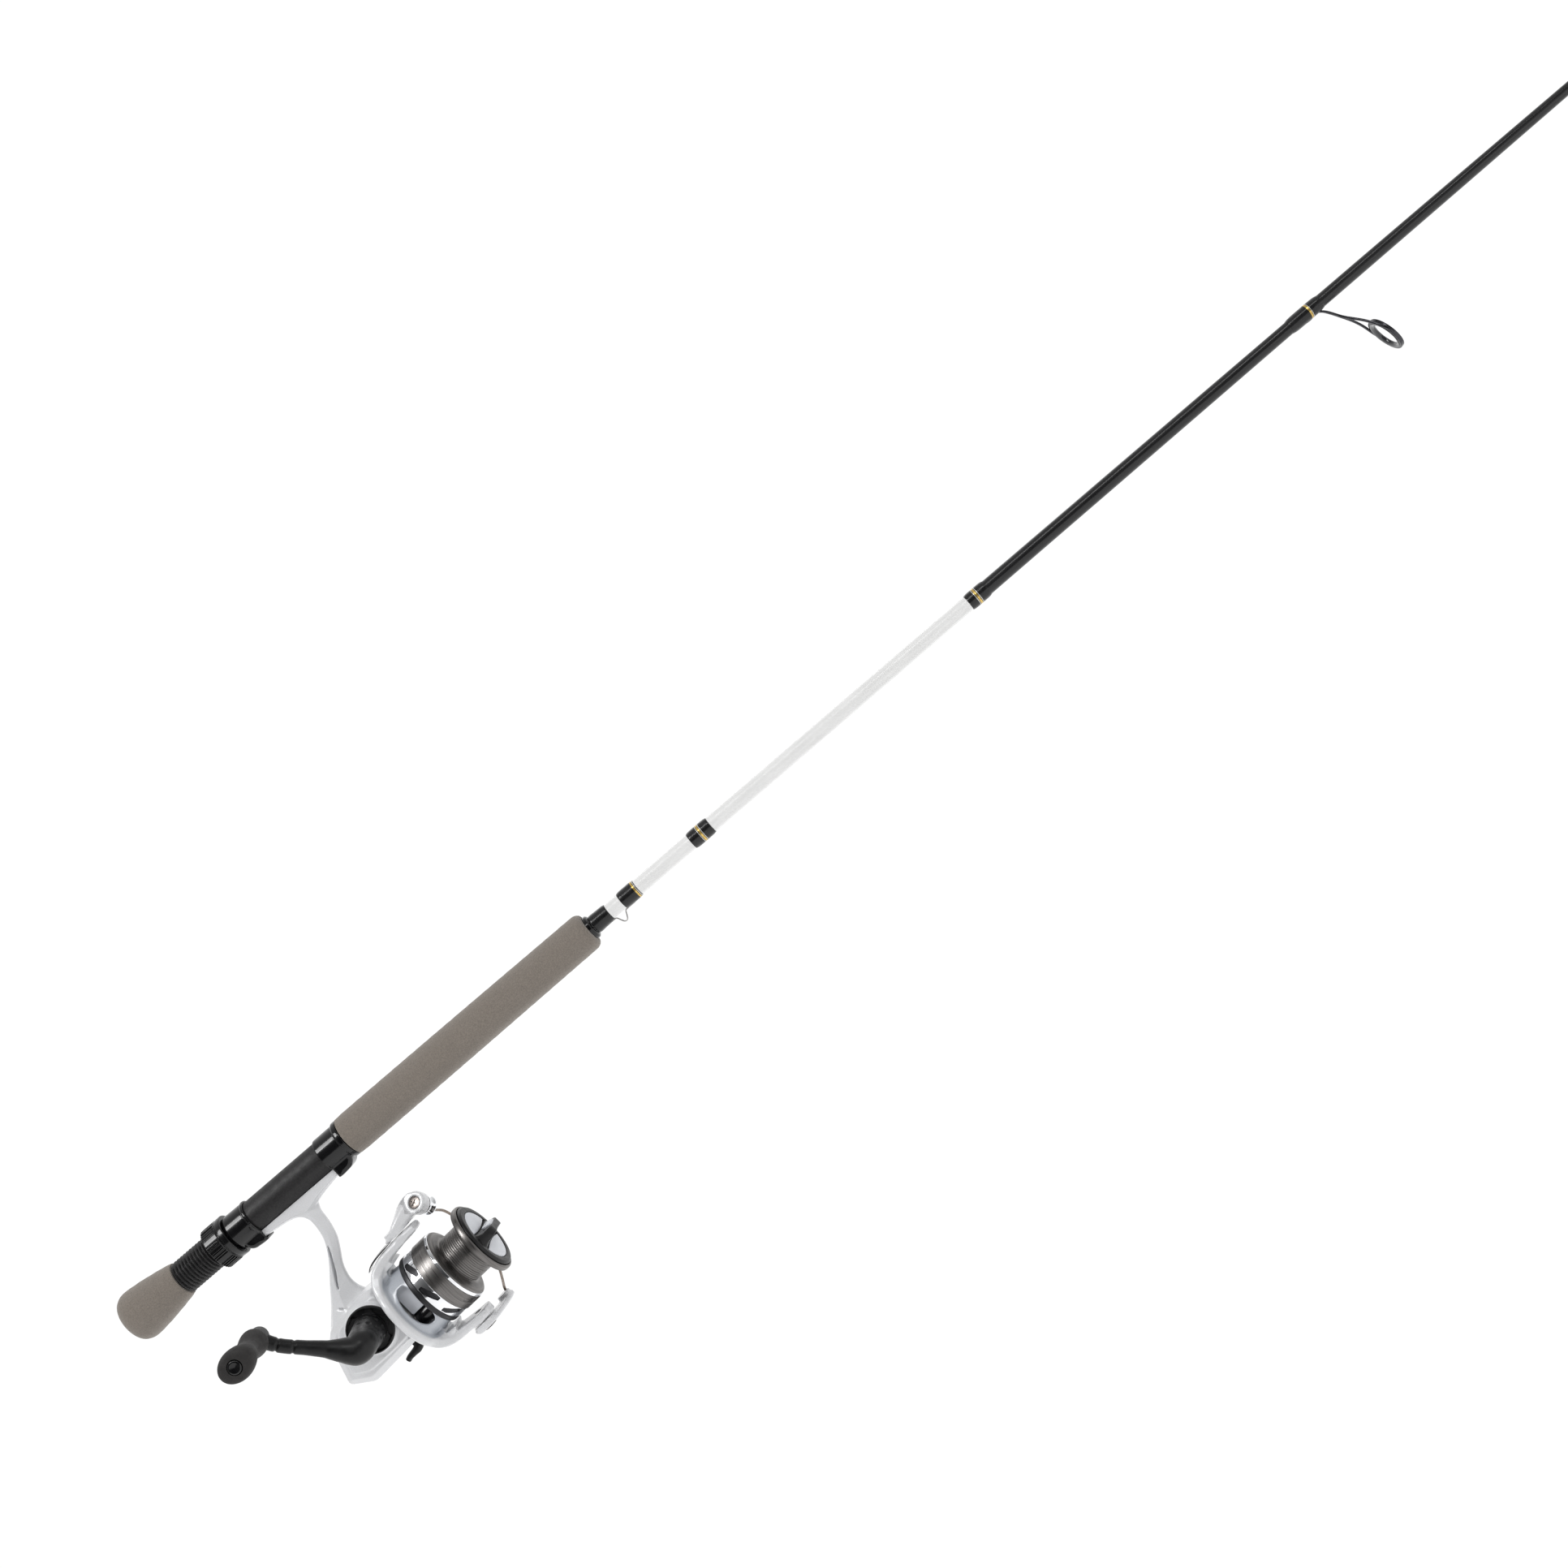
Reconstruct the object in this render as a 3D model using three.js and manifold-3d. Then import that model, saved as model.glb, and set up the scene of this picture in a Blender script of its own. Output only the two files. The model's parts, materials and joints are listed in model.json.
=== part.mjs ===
// Spinning rod and reel. Millimetres, +X along the blank to the tip, +Z up, the reel hangs
// below the rod and its handle points to -Y. Origin: rod axis at the middle of the reel seat.
import * as THREE from 'three';
import * as BufferGeometryUtils from 'three/addons/utils/BufferGeometryUtils.js';
import Module from 'manifold-3d';

const wasm = await Module();
wasm.setup();

// ---- driving dimensions (mm) -------------------------------------------------------------
const FIT = 0.15;
const ROUND = 16;
const BUTT_X = -121.6;
const BUTT_CAP_END_X = -79.1;
const SEAT_END_X = 44.3;
const SEAT_R = 9.7;
const SEAT_BORE_R = 8;
const THREAD_CREST_R = 9.75;
const THREAD_ROOT_R = 9.2;
const THREAD_PITCH = 2.2;
const THREAD_START_X = -78.8;
const THREAD_END_X = -56;
const HOOD_BORE_R = 9.95;
const HOOD_R = 10.6;
const HOOD_BELLY_Z = -13.6;
const HOOD_BELLY_HALF_WIDTH = 7.2;
const SLIDING_HOOD_X = [-39.8, -25.1];
const FIXED_HOOD_X = [25.7, 44.4];
const HOOD_FLANGE = { x: 41.2, radius: 11.5 };
const NUT_X = [-57.6, -40.1];
const NUT_R = 13;
const NUT_RIBS = 16;
const GRIP_X = [44.6, 223.3];
const TIP_X = 1707.2;
const BLANK_WALL = 0.42;
const BLANK = [
  [-119, 5], [230, 4.7], [360, 4.65], [446, 4.55], [517, 4.3], [623, 4.05],
  [711, 3.8], [776, 3.65], [841, 3.45], [919, 3.1], [1200, 2.2], [1450, 1.45], [1700, 0.8],
];
const WRAP_THICK = 0.75;
const GUIDES = [
  { foot: 745, ring: 765.5, drop: 36.8, outer: 11.2, hole: 7.3, wire: 0.75, wrap: 22 },
  { foot: 1004, ring: 1020, drop: 22, outer: 7.6, hole: 4.8, wire: 0.65, wrap: 20 },
  { foot: 1222, ring: 1235, drop: 16, outer: 6, hole: 3.4, wire: 0.55, wrap: 18 },
  { foot: 1404, ring: 1415, drop: 12.5, outer: 5, hole: 2.6, wire: 0.5, wrap: 17 },
  { foot: 1558, ring: 1568, drop: 10.5, outer: 4.5, hole: 2.2, wire: 0.45, wrap: 16 },
];
const TIP_RING = { drop: 6, outer: 3.6, hole: 2.1 };

// reel frame: x along the spool axis, nose up by REEL_TILT, origin below the seat middle
const REEL_TILT = 3.44 * Math.PI / 180;
const REEL_DROP = 95.7;
const BODY_HALF = 12.5;
const CRANK = { x: -12.06, z: 7.74 };
const OSC = { x: -25, z: -1.5 };
const SHAFT_R = 1.75;
const BAIL_PIVOT_X = 32.2;
const ARM_OUT = 33.3;
const KNOB = { x: -42.4, z: 50 };
const KNOB_ROOT_Y = -60.8;
const KNOB_CAP_Y = -98.1;
const ROLLER_FACE = new THREE.Vector3(48, 6, 40.3);
const ROLLER_AXIS = new THREE.Vector3(0.05, 0.84, -0.54).normalize();

const sine = Math.sin(REEL_TILT);
const cosine = Math.cos(REEL_TILT);

// a point given in the rod frame (X, Z) written in the reel frame
function toReel([x, z]) {
  const dz = z + REEL_DROP;
  return [x * cosine + dz * sine, -x * sine + dz * cosine];
}

// ---- materials ---------------------------------------------------------------------------
function paint(name, color, roughness, metalness) {
  const material = new THREE.MeshStandardMaterial({ color, roughness, metalness });
  material.name = name;
  return material;
}
const EVA = paint('eva_foam', 0x877a70, 0.9, 0);
const BLACK_GLOSS = paint('black_gloss', 0x101012, 0.2, 0);
const SEAT_BLACK = paint('seat_satin', 0x2a2829, 0.55, 0);
const BLANK_PAINT = paint('blank_paint', 0x232325, 0.5, 0);
const THREAD_WRAP = paint('thread_epoxy', 0x0c0c0e, 0.15, 0);
const STEEL = paint('steel', 0xb4b4b6, 0.3, 1);
const GUIDE_FRAME = paint('guide_frame', 0x2c2c30, 0.3, 1);
const CERAMIC = paint('ceramic_ring', 0x1a1a1e, 0.15, 0);
const PEARL = paint('pearl_paint', 0xd8d8da, 0.35, 0);
const GUNMETAL = paint('gunmetal', 0x4c4c4e, 0.35, 1);
const BLACK_SATIN = paint('black_satin', 0x161617, 0.45, 0);
const SOFT_GRIP = paint('soft_grip', 0x3a3735, 0.8, 0);
const BRASS = paint('brass', 0xb08d57, 0.3, 1);
const CHROME = paint('chrome', 0xd0d0d4, 0.1, 1);
const SILVER = paint('silver_paint', 0xc6cad0, 0.3, 0);
const CARBON = paint('washer_felt', 0x38342f, 0.85, 0);

// ---- geometry helpers --------------------------------------------------------------------
// signed volume of a closed triangle mesh; negative when its faces look inward
function volume(geometry) {
  const p = geometry.attributes.position;
  const index = geometry.index;
  const a = new THREE.Vector3();
  const b = new THREE.Vector3();
  const c = new THREE.Vector3();
  let sum = 0;
  for (let i = 0; i < index.count; i += 3) {
    a.fromBufferAttribute(p, index.getX(i));
    b.fromBufferAttribute(p, index.getX(i + 1));
    c.fromBufferAttribute(p, index.getX(i + 2));
    sum += a.dot(b.clone().cross(c)) / 6;
  }
  return sum;
}

// welded, outward-facing copy without empty triangles
function welded(source) {
  const plain = source.index ? source.clone() : BufferGeometryUtils.mergeVertices(source);
  plain.deleteAttribute('normal');
  plain.deleteAttribute('uv');
  const geometry = BufferGeometryUtils.mergeVertices(plain, 1e-4);
  const keep = [];
  const index = geometry.index;
  for (let i = 0; i < index.count; i += 3) {
    const t = [index.getX(i), index.getX(i + 1), index.getX(i + 2)];
    if (t[0] !== t[1] && t[1] !== t[2] && t[2] !== t[0]) keep.push(t);
  }
  geometry.setIndex(keep.flat());
  if (volume(geometry) < 0) geometry.setIndex(keep.map((t) => [t[0], t[2], t[1]]).flat());
  return geometry;
}

function manifold(geometry) {
  const g = welded(geometry);
  const mesh = new wasm.Mesh({
    numProp: 3,
    vertProperties: new Float32Array(g.attributes.position.array),
    triVerts: new Uint32Array(g.index.array),
  });
  return new wasm.Manifold(mesh);
}

function fromManifold(body) {
  const mesh = body.getMesh();
  const geometry = new THREE.BufferGeometry();
  geometry.setAttribute('position', new THREE.BufferAttribute(mesh.vertProperties, 3));
  geometry.setIndex(new THREE.BufferAttribute(mesh.triVerts, 1));
  return geometry;
}

function join(first, ...others) {
  return fromManifold(others.reduce((body, g) => body.add(manifold(g)), manifold(first)));
}

function cut(first, ...others) {
  return fromManifold(others.reduce((body, g) => body.subtract(manifold(g)), manifold(first)));
}

function common(first, second) {
  return fromManifold(manifold(first).intersect(manifold(second)));
}

function mesh(name, geometry, material) {
  const g = welded(geometry);
  g.computeVertexNormals();
  const part = new THREE.Mesh(g, material);
  part.name = name;
  return part;
}

// profile [[x, radius], ...] turned about the X axis; a profile off the axis closes on itself
function turned(profile, segments = ROUND) {
  const open = profile[0][1] === 0 && profile[profile.length - 1][1] === 0;
  const loop = open ? profile : [...profile, profile[0]];
  const points = loop.map(([x, r]) => new THREE.Vector2(r, x));
  const geometry = new THREE.LatheGeometry(points, segments);
  geometry.rotateZ(-Math.PI / 2);
  return geometry;
}

function tubeX(x0, x1, inner, outer, segments = ROUND) {
  return turned([[x0, inner], [x1, inner], [x1, outer], [x0, outer]], segments);
}

function rodX(x0, x1, radius, segments = ROUND) {
  return turned([[x0, 0], [x0, radius], [x1, radius], [x1, 0]], segments);
}

// cylinder (or cone) between two points
function bar(from, to, r0, r1 = r0, segments = ROUND) {
  const direction = to.clone().sub(from);
  const geometry = new THREE.CylinderGeometry(r1, r0, direction.length(), segments);
  const turn = new THREE.Quaternion();
  turn.setFromUnitVectors(new THREE.Vector3(0, 1, 0), direction.clone().normalize());
  geometry.applyQuaternion(turn);
  geometry.translate(...from.clone().add(to).multiplyScalar(0.5).toArray());
  return geometry;
}

// cylinder along Y around (x, z)
function barY(x, z, y0, y1, radius, segments = ROUND) {
  return bar(new THREE.Vector3(x, y0, z), new THREE.Vector3(x, y1, z), radius, radius, segments);
}

function barZ(x, y, z0, z1, radius, segments = ROUND) {
  return bar(new THREE.Vector3(x, y, z0), new THREE.Vector3(x, y, z1), radius, radius, segments);
}

function block(x0, x1, y0, y1, z0, z1) {
  const geometry = new THREE.BoxGeometry(x1 - x0, y1 - y0, z1 - z0);
  geometry.translate((x0 + x1) / 2, (y0 + y1) / 2, (z0 + z1) / 2);
  return geometry;
}

// outline in X-Z given thickness from y0 to y1, edges chamfered by bevel
function slabXZ(outline, y0, y1, bevel = 0) {
  const shape = new THREE.Shape(outline.map(([x, z]) => new THREE.Vector2(x, z)));
  const geometry = new THREE.ExtrudeGeometry(shape, {
    depth: y1 - y0 - 2 * bevel,
    bevelEnabled: bevel > 0,
    bevelThickness: bevel,
    bevelSize: bevel,
    bevelOffset: -bevel,
    bevelSegments: 1,
  });
  geometry.rotateX(Math.PI / 2);
  geometry.translate(0, y1 - bevel, 0);
  return geometry;
}

// outline in X-Y given thickness from z0 to z1
function slabXY(outline, z0, z1) {
  const shape = new THREE.Shape(outline.map(([x, y]) => new THREE.Vector2(x, y)));
  const geometry = new THREE.ExtrudeGeometry(shape, { depth: z1 - z0, bevelEnabled: false });
  geometry.translate(0, 0, z0);
  return geometry;
}

// round wire along a smooth curve through the points
function wire(points, radius, steps, sides = 8) {
  const curve = new THREE.CatmullRomCurve3(points.map((p) => new THREE.Vector3(...p)));
  const circle = new THREE.Shape();
  for (let i = 0; i < sides; i += 1) {
    const a = i * 2 * Math.PI / sides;
    const p = [radius * Math.cos(a), radius * Math.sin(a)];
    if (i === 0) circle.moveTo(...p);
    else circle.lineTo(...p);
  }
  circle.closePath();
  return new THREE.ExtrudeGeometry(circle, { steps, extrudePath: curve, bevelEnabled: false });
}

// convex outline around two discs: the plan of a lever
function leverPlan(c0, r0, c1, r1, steps = 8) {
  const angle = Math.atan2(c1[1] - c0[1], c1[0] - c0[0]);
  const gap = Math.hypot(c1[0] - c0[0], c1[1] - c0[1]);
  const lean = Math.acos((r0 - r1) / gap);
  const outline = [];
  for (let i = 0; i <= steps; i += 1) {
    const a = angle + lean + (2 * Math.PI - 2 * lean) * i / steps;
    outline.push([c0[0] + r0 * Math.cos(a), c0[1] + r0 * Math.sin(a)]);
  }
  for (let i = 0; i <= steps; i += 1) {
    const a = angle - lean + 2 * lean * i / steps;
    outline.push([c1[0] + r1 * Math.cos(a), c1[1] + r1 * Math.sin(a)]);
  }
  return outline;
}

// gear outline with pointed teeth
function gearPlan(cx, cz, root, tip, teeth) {
  const outline = [];
  for (let i = 0; i < teeth; i += 1) {
    for (const [k, r] of [[0, root], [0.5, tip]]) {
      const a = (i + k) * 2 * Math.PI / teeth;
      outline.push([cx + r * Math.cos(a), cz + r * Math.sin(a)]);
    }
  }
  return outline;
}

// radius of the blank at x
function blankR(x) {
  for (let i = 1; i < BLANK.length; i += 1) {
    const [x0, r0] = BLANK[i - 1];
    const [x1, r1] = BLANK[i];
    if (x <= x1) return r0 + (r1 - r0) * (x - x0) / (x1 - x0);
  }
  return BLANK[BLANK.length - 1][1];
}

// ---- rod ---------------------------------------------------------------------------------
function buttCap() {
  const outside = [
    [BUTT_X, 0], [BUTT_X, 9.5], [-120.4, 12], [-116, 13.6], [-111, 15], [-107, 15],
    [-98.4, 14], [-89, 12.6], [-82, 11.2], [BUTT_CAP_END_X - 0.1, 10.6],
    [BUTT_CAP_END_X - 0.1, blankR(-80) + FIT], [-119.2, blankR(-119) + FIT], [-119.2, 0],
  ];
  return mesh('butt_cap', turned(outside), EVA);
}

function blank() {
  const outside = BLANK;
  const inside = BLANK.map(([x, r]) => [x, r * (1 - BLANK_WALL)]).reverse();
  return mesh('rod_blank', turned([...outside, ...inside]), BLANK_PAINT);
}

function seatTube() {
  const profile = [[BUTT_CAP_END_X, SEAT_BORE_R], [BUTT_CAP_END_X, THREAD_ROOT_R]];
  const count = Math.floor((THREAD_END_X - THREAD_START_X) / THREAD_PITCH);
  for (let i = 0; i < count; i += 1) {
    const x = THREAD_START_X + i * THREAD_PITCH;
    profile.push([x, THREAD_ROOT_R], [x + THREAD_PITCH / 2, THREAD_CREST_R]);
  }
  profile.push([THREAD_END_X, THREAD_ROOT_R], [THREAD_END_X + 1, SEAT_R]);
  profile.push([SEAT_END_X, SEAT_R], [SEAT_END_X, SEAT_BORE_R]);
  return mesh('seat_tube', turned(profile), SEAT_BLACK);
}

function seatArbor() {
  const x0 = BUTT_CAP_END_X + 1;
  const bore = blankR(x0) + FIT;
  return mesh('seat_arbor', tubeX(x0, SEAT_END_X - 1, bore, SEAT_BORE_R - FIT), CARBON);
}

// ring round the seat with a belly below it that the reel foot slides into
function hood(name, [x0, x1], mouthX, backX, flange = []) {
  const ring = join(tubeX(x0, x1, HOOD_BORE_R, HOOD_R), ...flange);
  const inward = Math.sign(backX - mouthX);
  const belly = slabXZ([
    [mouthX, -5], [mouthX, HOOD_BELLY_Z], [mouthX + inward * 9.5, HOOD_BELLY_Z + 0.4],
    [mouthX + inward * 12.5, -HOOD_R], [mouthX + inward * 12.5, -5],
  ], -HOOD_BELLY_HALF_WIDTH, HOOD_BELLY_HALF_WIDTH, 0);
  const bore = rodX(x0 - 5, x1 + 5, HOOD_BORE_R);
  const pocketBack = mouthX + inward * 7.6;
  const pocket = block(
    Math.min(mouthX - inward, pocketBack), Math.max(mouthX - inward, pocketBack), -6.1, 6.1, -12.9, -4,
  );
  return mesh(name, cut(join(ring, belly), bore, pocket), BLACK_GLOSS);
}

function lockNut() {
  const outline = [];
  for (let i = 0; i < NUT_RIBS; i += 1) {
    for (const [k, r] of [[0, NUT_R - 0.6], [0.3, NUT_R], [0.7, NUT_R]]) {
      const a = (i + k) * 2 * Math.PI / NUT_RIBS;
      outline.push([r * Math.cos(a), r * Math.sin(a)]);
    }
  }
  const ribbed = slabXY(outline, NUT_X[0], -43);
  ribbed.rotateY(Math.PI / 2);
  const smooth = rodX(-43.2, NUT_X[1], NUT_R - 0.3);
  const bore = rodX(NUT_X[0] - 1, NUT_X[1] + 1, HOOD_BORE_R, 32);
  return mesh('lock_nut', cut(join(ribbed, smooth), bore), BLACK_GLOSS);
}

function gripParts() {
  const bore = blankR(GRIP_X[0]) + FIT;
  const grip = turned([
    [GRIP_X[0], bore], [GRIP_X[0], 11.4], [GRIP_X[0] + 0.8, 11.9], [GRIP_X[1] - 3, 11.3],
    [GRIP_X[1] - 0.8, 10.4], [GRIP_X[1], 8.6], [GRIP_X[1], bore],
  ]);
  const check = turned([[223.45, bore], [223.45, 7], [225.2, 7], [226, 6.3], [226, bore]]);
  return [
    mesh('fore_grip', grip, EVA),
    mesh('winding_check', check, BLACK_GLOSS),
  ];
}

// thread and epoxy sleeve with tapered ends
function wrap(name, x0, x1, thick = WRAP_THICK) {
  const edge = Math.min(3, (x1 - x0) / 4);
  const r = (x) => blankR(x) + FIT;
  return mesh(name, turned([
    [x0, r(x0)], [x0, r(x0) + 0.2], [x0 + edge, r(x0) + thick],
    [x1 - edge, r(x1) + thick], [x1, r(x1) + 0.2], [x1, r(x1)],
  ]), THREAD_WRAP);
}

function hookKeeper() {
  const r = blankR(242) + FIT + 0.4;
  const bow = wire([
    [238, 0, -r], [239, 0, -r - 1.5], [241.8, 0, -r - 4.3], [244.6, 0, -r - 1.5], [245.6, 0, -r],
  ], 0.4, 16, 6);
  return mesh('hook_keeper', bow, STEEL);
}

// guide: strap on the blank, two legs and a ring leaning to the tip
function guide(n, g) {
  const lean = 11 * Math.PI / 180;
  const strapZ = -(blankR(g.foot - g.wrap) + FIT + WRAP_THICK + 1.9 * g.wire);
  const edge = g.outer - 1.75;
  const lip = (edge - g.hole) * 0.4;
  const ring = tubeX(-1.3, 1.3, g.outer - 1.6, g.outer);
  const insert = turned([
    [-1.5, g.hole + lip], [0, g.hole], [1.5, g.hole + lip], [1.5, edge], [-1.5, edge],
  ]);
  for (const geometry of [ring, insert]) {
    geometry.rotateY(-lean);
    geometry.translate(g.ring, 0, -g.drop);
  }
  const parts = [ring];
  for (const side of [-1, 1]) {
    parts.push(wire([
      [g.foot - g.wrap * 0.5, 0, strapZ], [g.foot, 0, strapZ],
      [g.foot + (g.ring - g.foot) * 0.4, side * g.outer * 0.35, strapZ - (g.drop + strapZ) * 0.35],
      [g.ring - 1, side * (g.outer - 0.6), -g.drop + g.outer * 0.35],
      [g.ring + 0.3, side * (g.outer - 0.6), -g.drop - g.outer * 0.1],
    ], g.wire, 9, 5));
  }
  return [
    mesh(`guide_${n}_frame`, join(...parts), GUIDE_FRAME),
    mesh(`guide_${n}_ring`, insert, CERAMIC),
  ];
}

function tipTop() {
  const r = blankR(1695);
  const sleeve = turned([[1690, r + 0.05], [1690, r + 0.6], [1706, r + 0.5], [TIP_X, 0.6], [TIP_X, 0],
    [1701, 0], [1701, r + 0.05]]);
  const ring = tubeX(-1, 1, TIP_RING.hole, TIP_RING.outer);
  ring.translate(TIP_X - 1.4, 0, -TIP_RING.drop);
  const post = bar(
    new THREE.Vector3(TIP_X - 3, 0, -0.9),
    new THREE.Vector3(TIP_X - 1.4, 0, -TIP_RING.drop + TIP_RING.outer - 0.4),
    0.7, 0.7, 8,
  );
  return mesh('tip_top', join(sleeve, ring, post), GUIDE_FRAME);
}

// ---- reel body ---------------------------------------------------------------------------
const HOUSING = [
  [2, 24.6], [2, -14.8], [-13.2, -15.1], [-31.1, -14.3], [-43.6, -6.4], [-38.4, 6.5],
  [-33.6, 18.75], [-28.5, 25.7], [-21.1, 32.7], [-5, 32.7],
];
const CAVITY = [
  [0, -12.4], [0, 19], [-14, 21.5], [-24, 21], [-30.5, 15.5], [-35.5, 5.5], [-40, -5.6], [-30.3, -11.9],
];
const STEM = [
  [7.6, -15.9], [6, -19.3], [5.3, -22], [4.6, -29.7], [2.4, -38.2], [-1.4, -45.4], [-5.4, -52],
  [-7.8, -59.8], [-7.6, -67], [-4.4, -73.6], [-28, -72], [-24.9, -64.6], [-18.9, -56.8],
  [-12.9, -49.6], [-7.6, -41.9], [-3.9, -34.1], [-2.5, -27.7], [-2.2, -22.5], [-3.3, -18.6], [-5, -15.9],
].map(toReel);
const FOOT = [
  [-31.6, -8], [31.8, -8], [31.8, -12.4], [25.4, -12.5], [25.2, -13.9], [17.6, -15.1], [9.7, -16.4],
  [7.2, -18], [-3.4, -18], [-7.2, -15.6], [-13.7, -14.3], [-24.6, -13.2], [-25, -12.4], [-31.6, -12.2],
].map(toReel);

function reelBody() {
  const housing = slabXZ(HOUSING, -BODY_HALF, BODY_HALF, 2);
  const boss = barY(CRANK.x, CRANK.z, -15.8, -8, 14);
  const stem = slabXZ(STEM, -4.8, 4.8, 1.2);
  const foot = slabXZ(FOOT, -5.7, 5.7, 0);
  const outside = join(housing, boss, stem, foot);
  const seat = rodX(-45, 45, SEAT_R + FIT);
  seat.rotateY(REEL_TILT);
  const [sx, sz] = toReel([0, 0]);
  seat.translate(sx, 0, sz);
  return mesh('reel_body', cut(
    outside,
    seat,
    slabXZ(CAVITY, -10, BODY_HALF + 1, 0),
    barY(CRANK.x, CRANK.z, -17, -9, 2.7, 16),
    rodX(-1, 3, 6.2),
    barZ(-5, 0, -17, -11, 2.4),
  ), PEARL);
}

function sideCover() {
  const plate = slabXZ([
    [-0.5, 21], [-0.5, -12.6], [-13, -13], [-30.6, -12.2], [-40.8, -5.8], [-36.3, 5.8],
    [-31.4, 17.4], [-26.6, 23.6], [-12, 24],
  ], BODY_HALF + 0.1, 15, 1);
  return mesh('side_cover', cut(plate, barY(CRANK.x, CRANK.z, 10, 17, 3)), PEARL);
}

function driveParts() {
  const shaft = barY(CRANK.x, CRANK.z, -33, 12.2, 2.5, 16);
  const wheel = slabXZ(gearPlan(CRANK.x, CRANK.z, 8.9, 9.5, 52), 3.4, 5.3);
  const small = slabXZ(gearPlan(CRANK.x, CRANK.z, 5.6, 6.4, 20), 5.9, 7.9);
  const hub = barY(CRANK.x, CRANK.z, 3.4, 7.9, 4, 16);
  const oscWheel = slabXZ(gearPlan(OSC.x, OSC.z, 8.3, 9.1, 28), 5.9, 7.9);
  const oscAxle = barY(OSC.x, OSC.z, 5.9, 12.3, 1.6, 12);
  const oscPin = barY(OSC.x, OSC.z + 5, 3.3, 6.5, 1, 12);
  return [
    mesh('drive_gear', join(wheel, small, hub, shaft), BRASS),
    mesh('oscillation_gear', join(oscWheel, oscAxle, oscPin), BRASS),
  ];
}

function pinionParts() {
  const outline = gearPlan(0, 0, 2.6, 3.05, 10);
  const teeth = slabXY(outline, 0, 16);
  teeth.rotateY(Math.PI / 2);
  teeth.translate(-20, 0, 0);
  const journal = rodX(-4.5, 12.2, 3.05);
  return [
    mesh('pinion', cut(join(teeth, journal), rodX(-21, 14, 2.05, 16)), BRASS),
    mesh('pinion_bearing', tubeX(-0.6, 1.8, 3.25, 6.05), STEEL),
  ];
}

function shaftParts() {
  const slider = cut(
    block(-29.5, -25.5, -3.2, 2.6, -5, 5),
    rodX(-31, -24, SHAFT_R + 0.1, 16),
    block(-28.5, -26.5, 1.9, 3, -4, 4),
  );
  return [
    mesh('main_shaft', rodX(-31.5, 64.4, SHAFT_R, 16), STEEL),
    mesh('oscillation_slider', slider, BLACK_SATIN),
  ];
}

function antiReverseLever() {
  const post = barZ(-5, 0, -20.2, -12.2, 2.1, 16);
  const tab = slabXZ([[-3, -17.6], [-3, -20.4], [-14.9, -21.4], [-14.9, -19.3], [-9, -18]], -2.4, 2.4);
  return mesh('anti_reverse_lever', join(post, tab), BLACK_SATIN);
}

// ---- rotor and bail ----------------------------------------------------------------------
function rotor() {
  const cup = turned([
    [2.8, 3.3], [2.8, 25.5], [3.6, 27], [7, 27], [8.3, 25.2], [8.3, 21.3], [25, 21.3], [25, 19.8],
    [5.2, 19.8], [5.2, 8], [9, 8], [9, 3.3],
  ], 28);
  const arm = [
    [2.8, 18], [2.8, 27], [4.2, 30.6], [9, 32.4], [20, ARM_OUT], [41, ARM_OUT], [41, 28.4],
    [24, 27.3], [12, 26.2], [7.5, 24], [5.3, 21.3],
  ];
  const plan = leverPlan([10, 0], 8.3, [BAIL_PIVOT_X, 0], 8.299);
  const plates = [1, -1].map((side) => common(
    slabXZ(arm.map(([x, z]) => [x, z * side]), -9, 9),
    slabXY(plan, -40, 40),
  ));
  const window = slabXZ(Array.from({ length: 20 }, (_, i) => {
    const a = i * Math.PI / 10;
    return [15.7 + 4.9 * Math.cos(a), 13 * Math.sin(a)];
  }), -30, 30);
  const pivots = barZ(BAIL_PIVOT_X, 0, -40, 40, 2.15, 12);
  const solid = cut(cup, window);
  return mesh('rotor', cut(join(solid, ...plates), pivots), PEARL);
}

function rotorTrim() {
  const hexagon = turned([[9.1, 0], [9.1, 6], [11.4, 6], [12, 5.2], [12, 0]], 6);
  const nut = cut(hexagon, rodX(8, 13, 3.3));
  const cover = slabXZ([
    [6, 32.2], [9, 33], [20, 33.95], [23, 33.95], [23, 34.7], [9, 34.1], [5.6, 32.8],
  ], -6.5, 6.5);
  return [
    mesh('rotor_nut', nut, BRASS),
    mesh('rotor_arm_cover', cover, BLACK_GLOSS),
  ];
}

function alongRoller(distance) {
  return ROLLER_FACE.clone().addScaledVector(ROLLER_AXIS, distance);
}

function bailArm() {
  const plate = slabXY(leverPlan([BAIL_PIVOT_X, 0], 8.3, [46.6, 6.2], 4.6), 34.9, 38.6);
  const boss = bar(alongRoller(0), alongRoller(7.6), 6, 5.6);
  return mesh('bail_arm', cut(
    join(plate, boss),
    barZ(BAIL_PIVOT_X, 0, 30, 42, 2.2, 12),
    bar(alongRoller(-3), alongRoller(10), 1.8, 1.8, 12),
    bar(alongRoller(-3), alongRoller(1.6), 3.7, 3.7, 16),
  ), PEARL);
}

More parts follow.
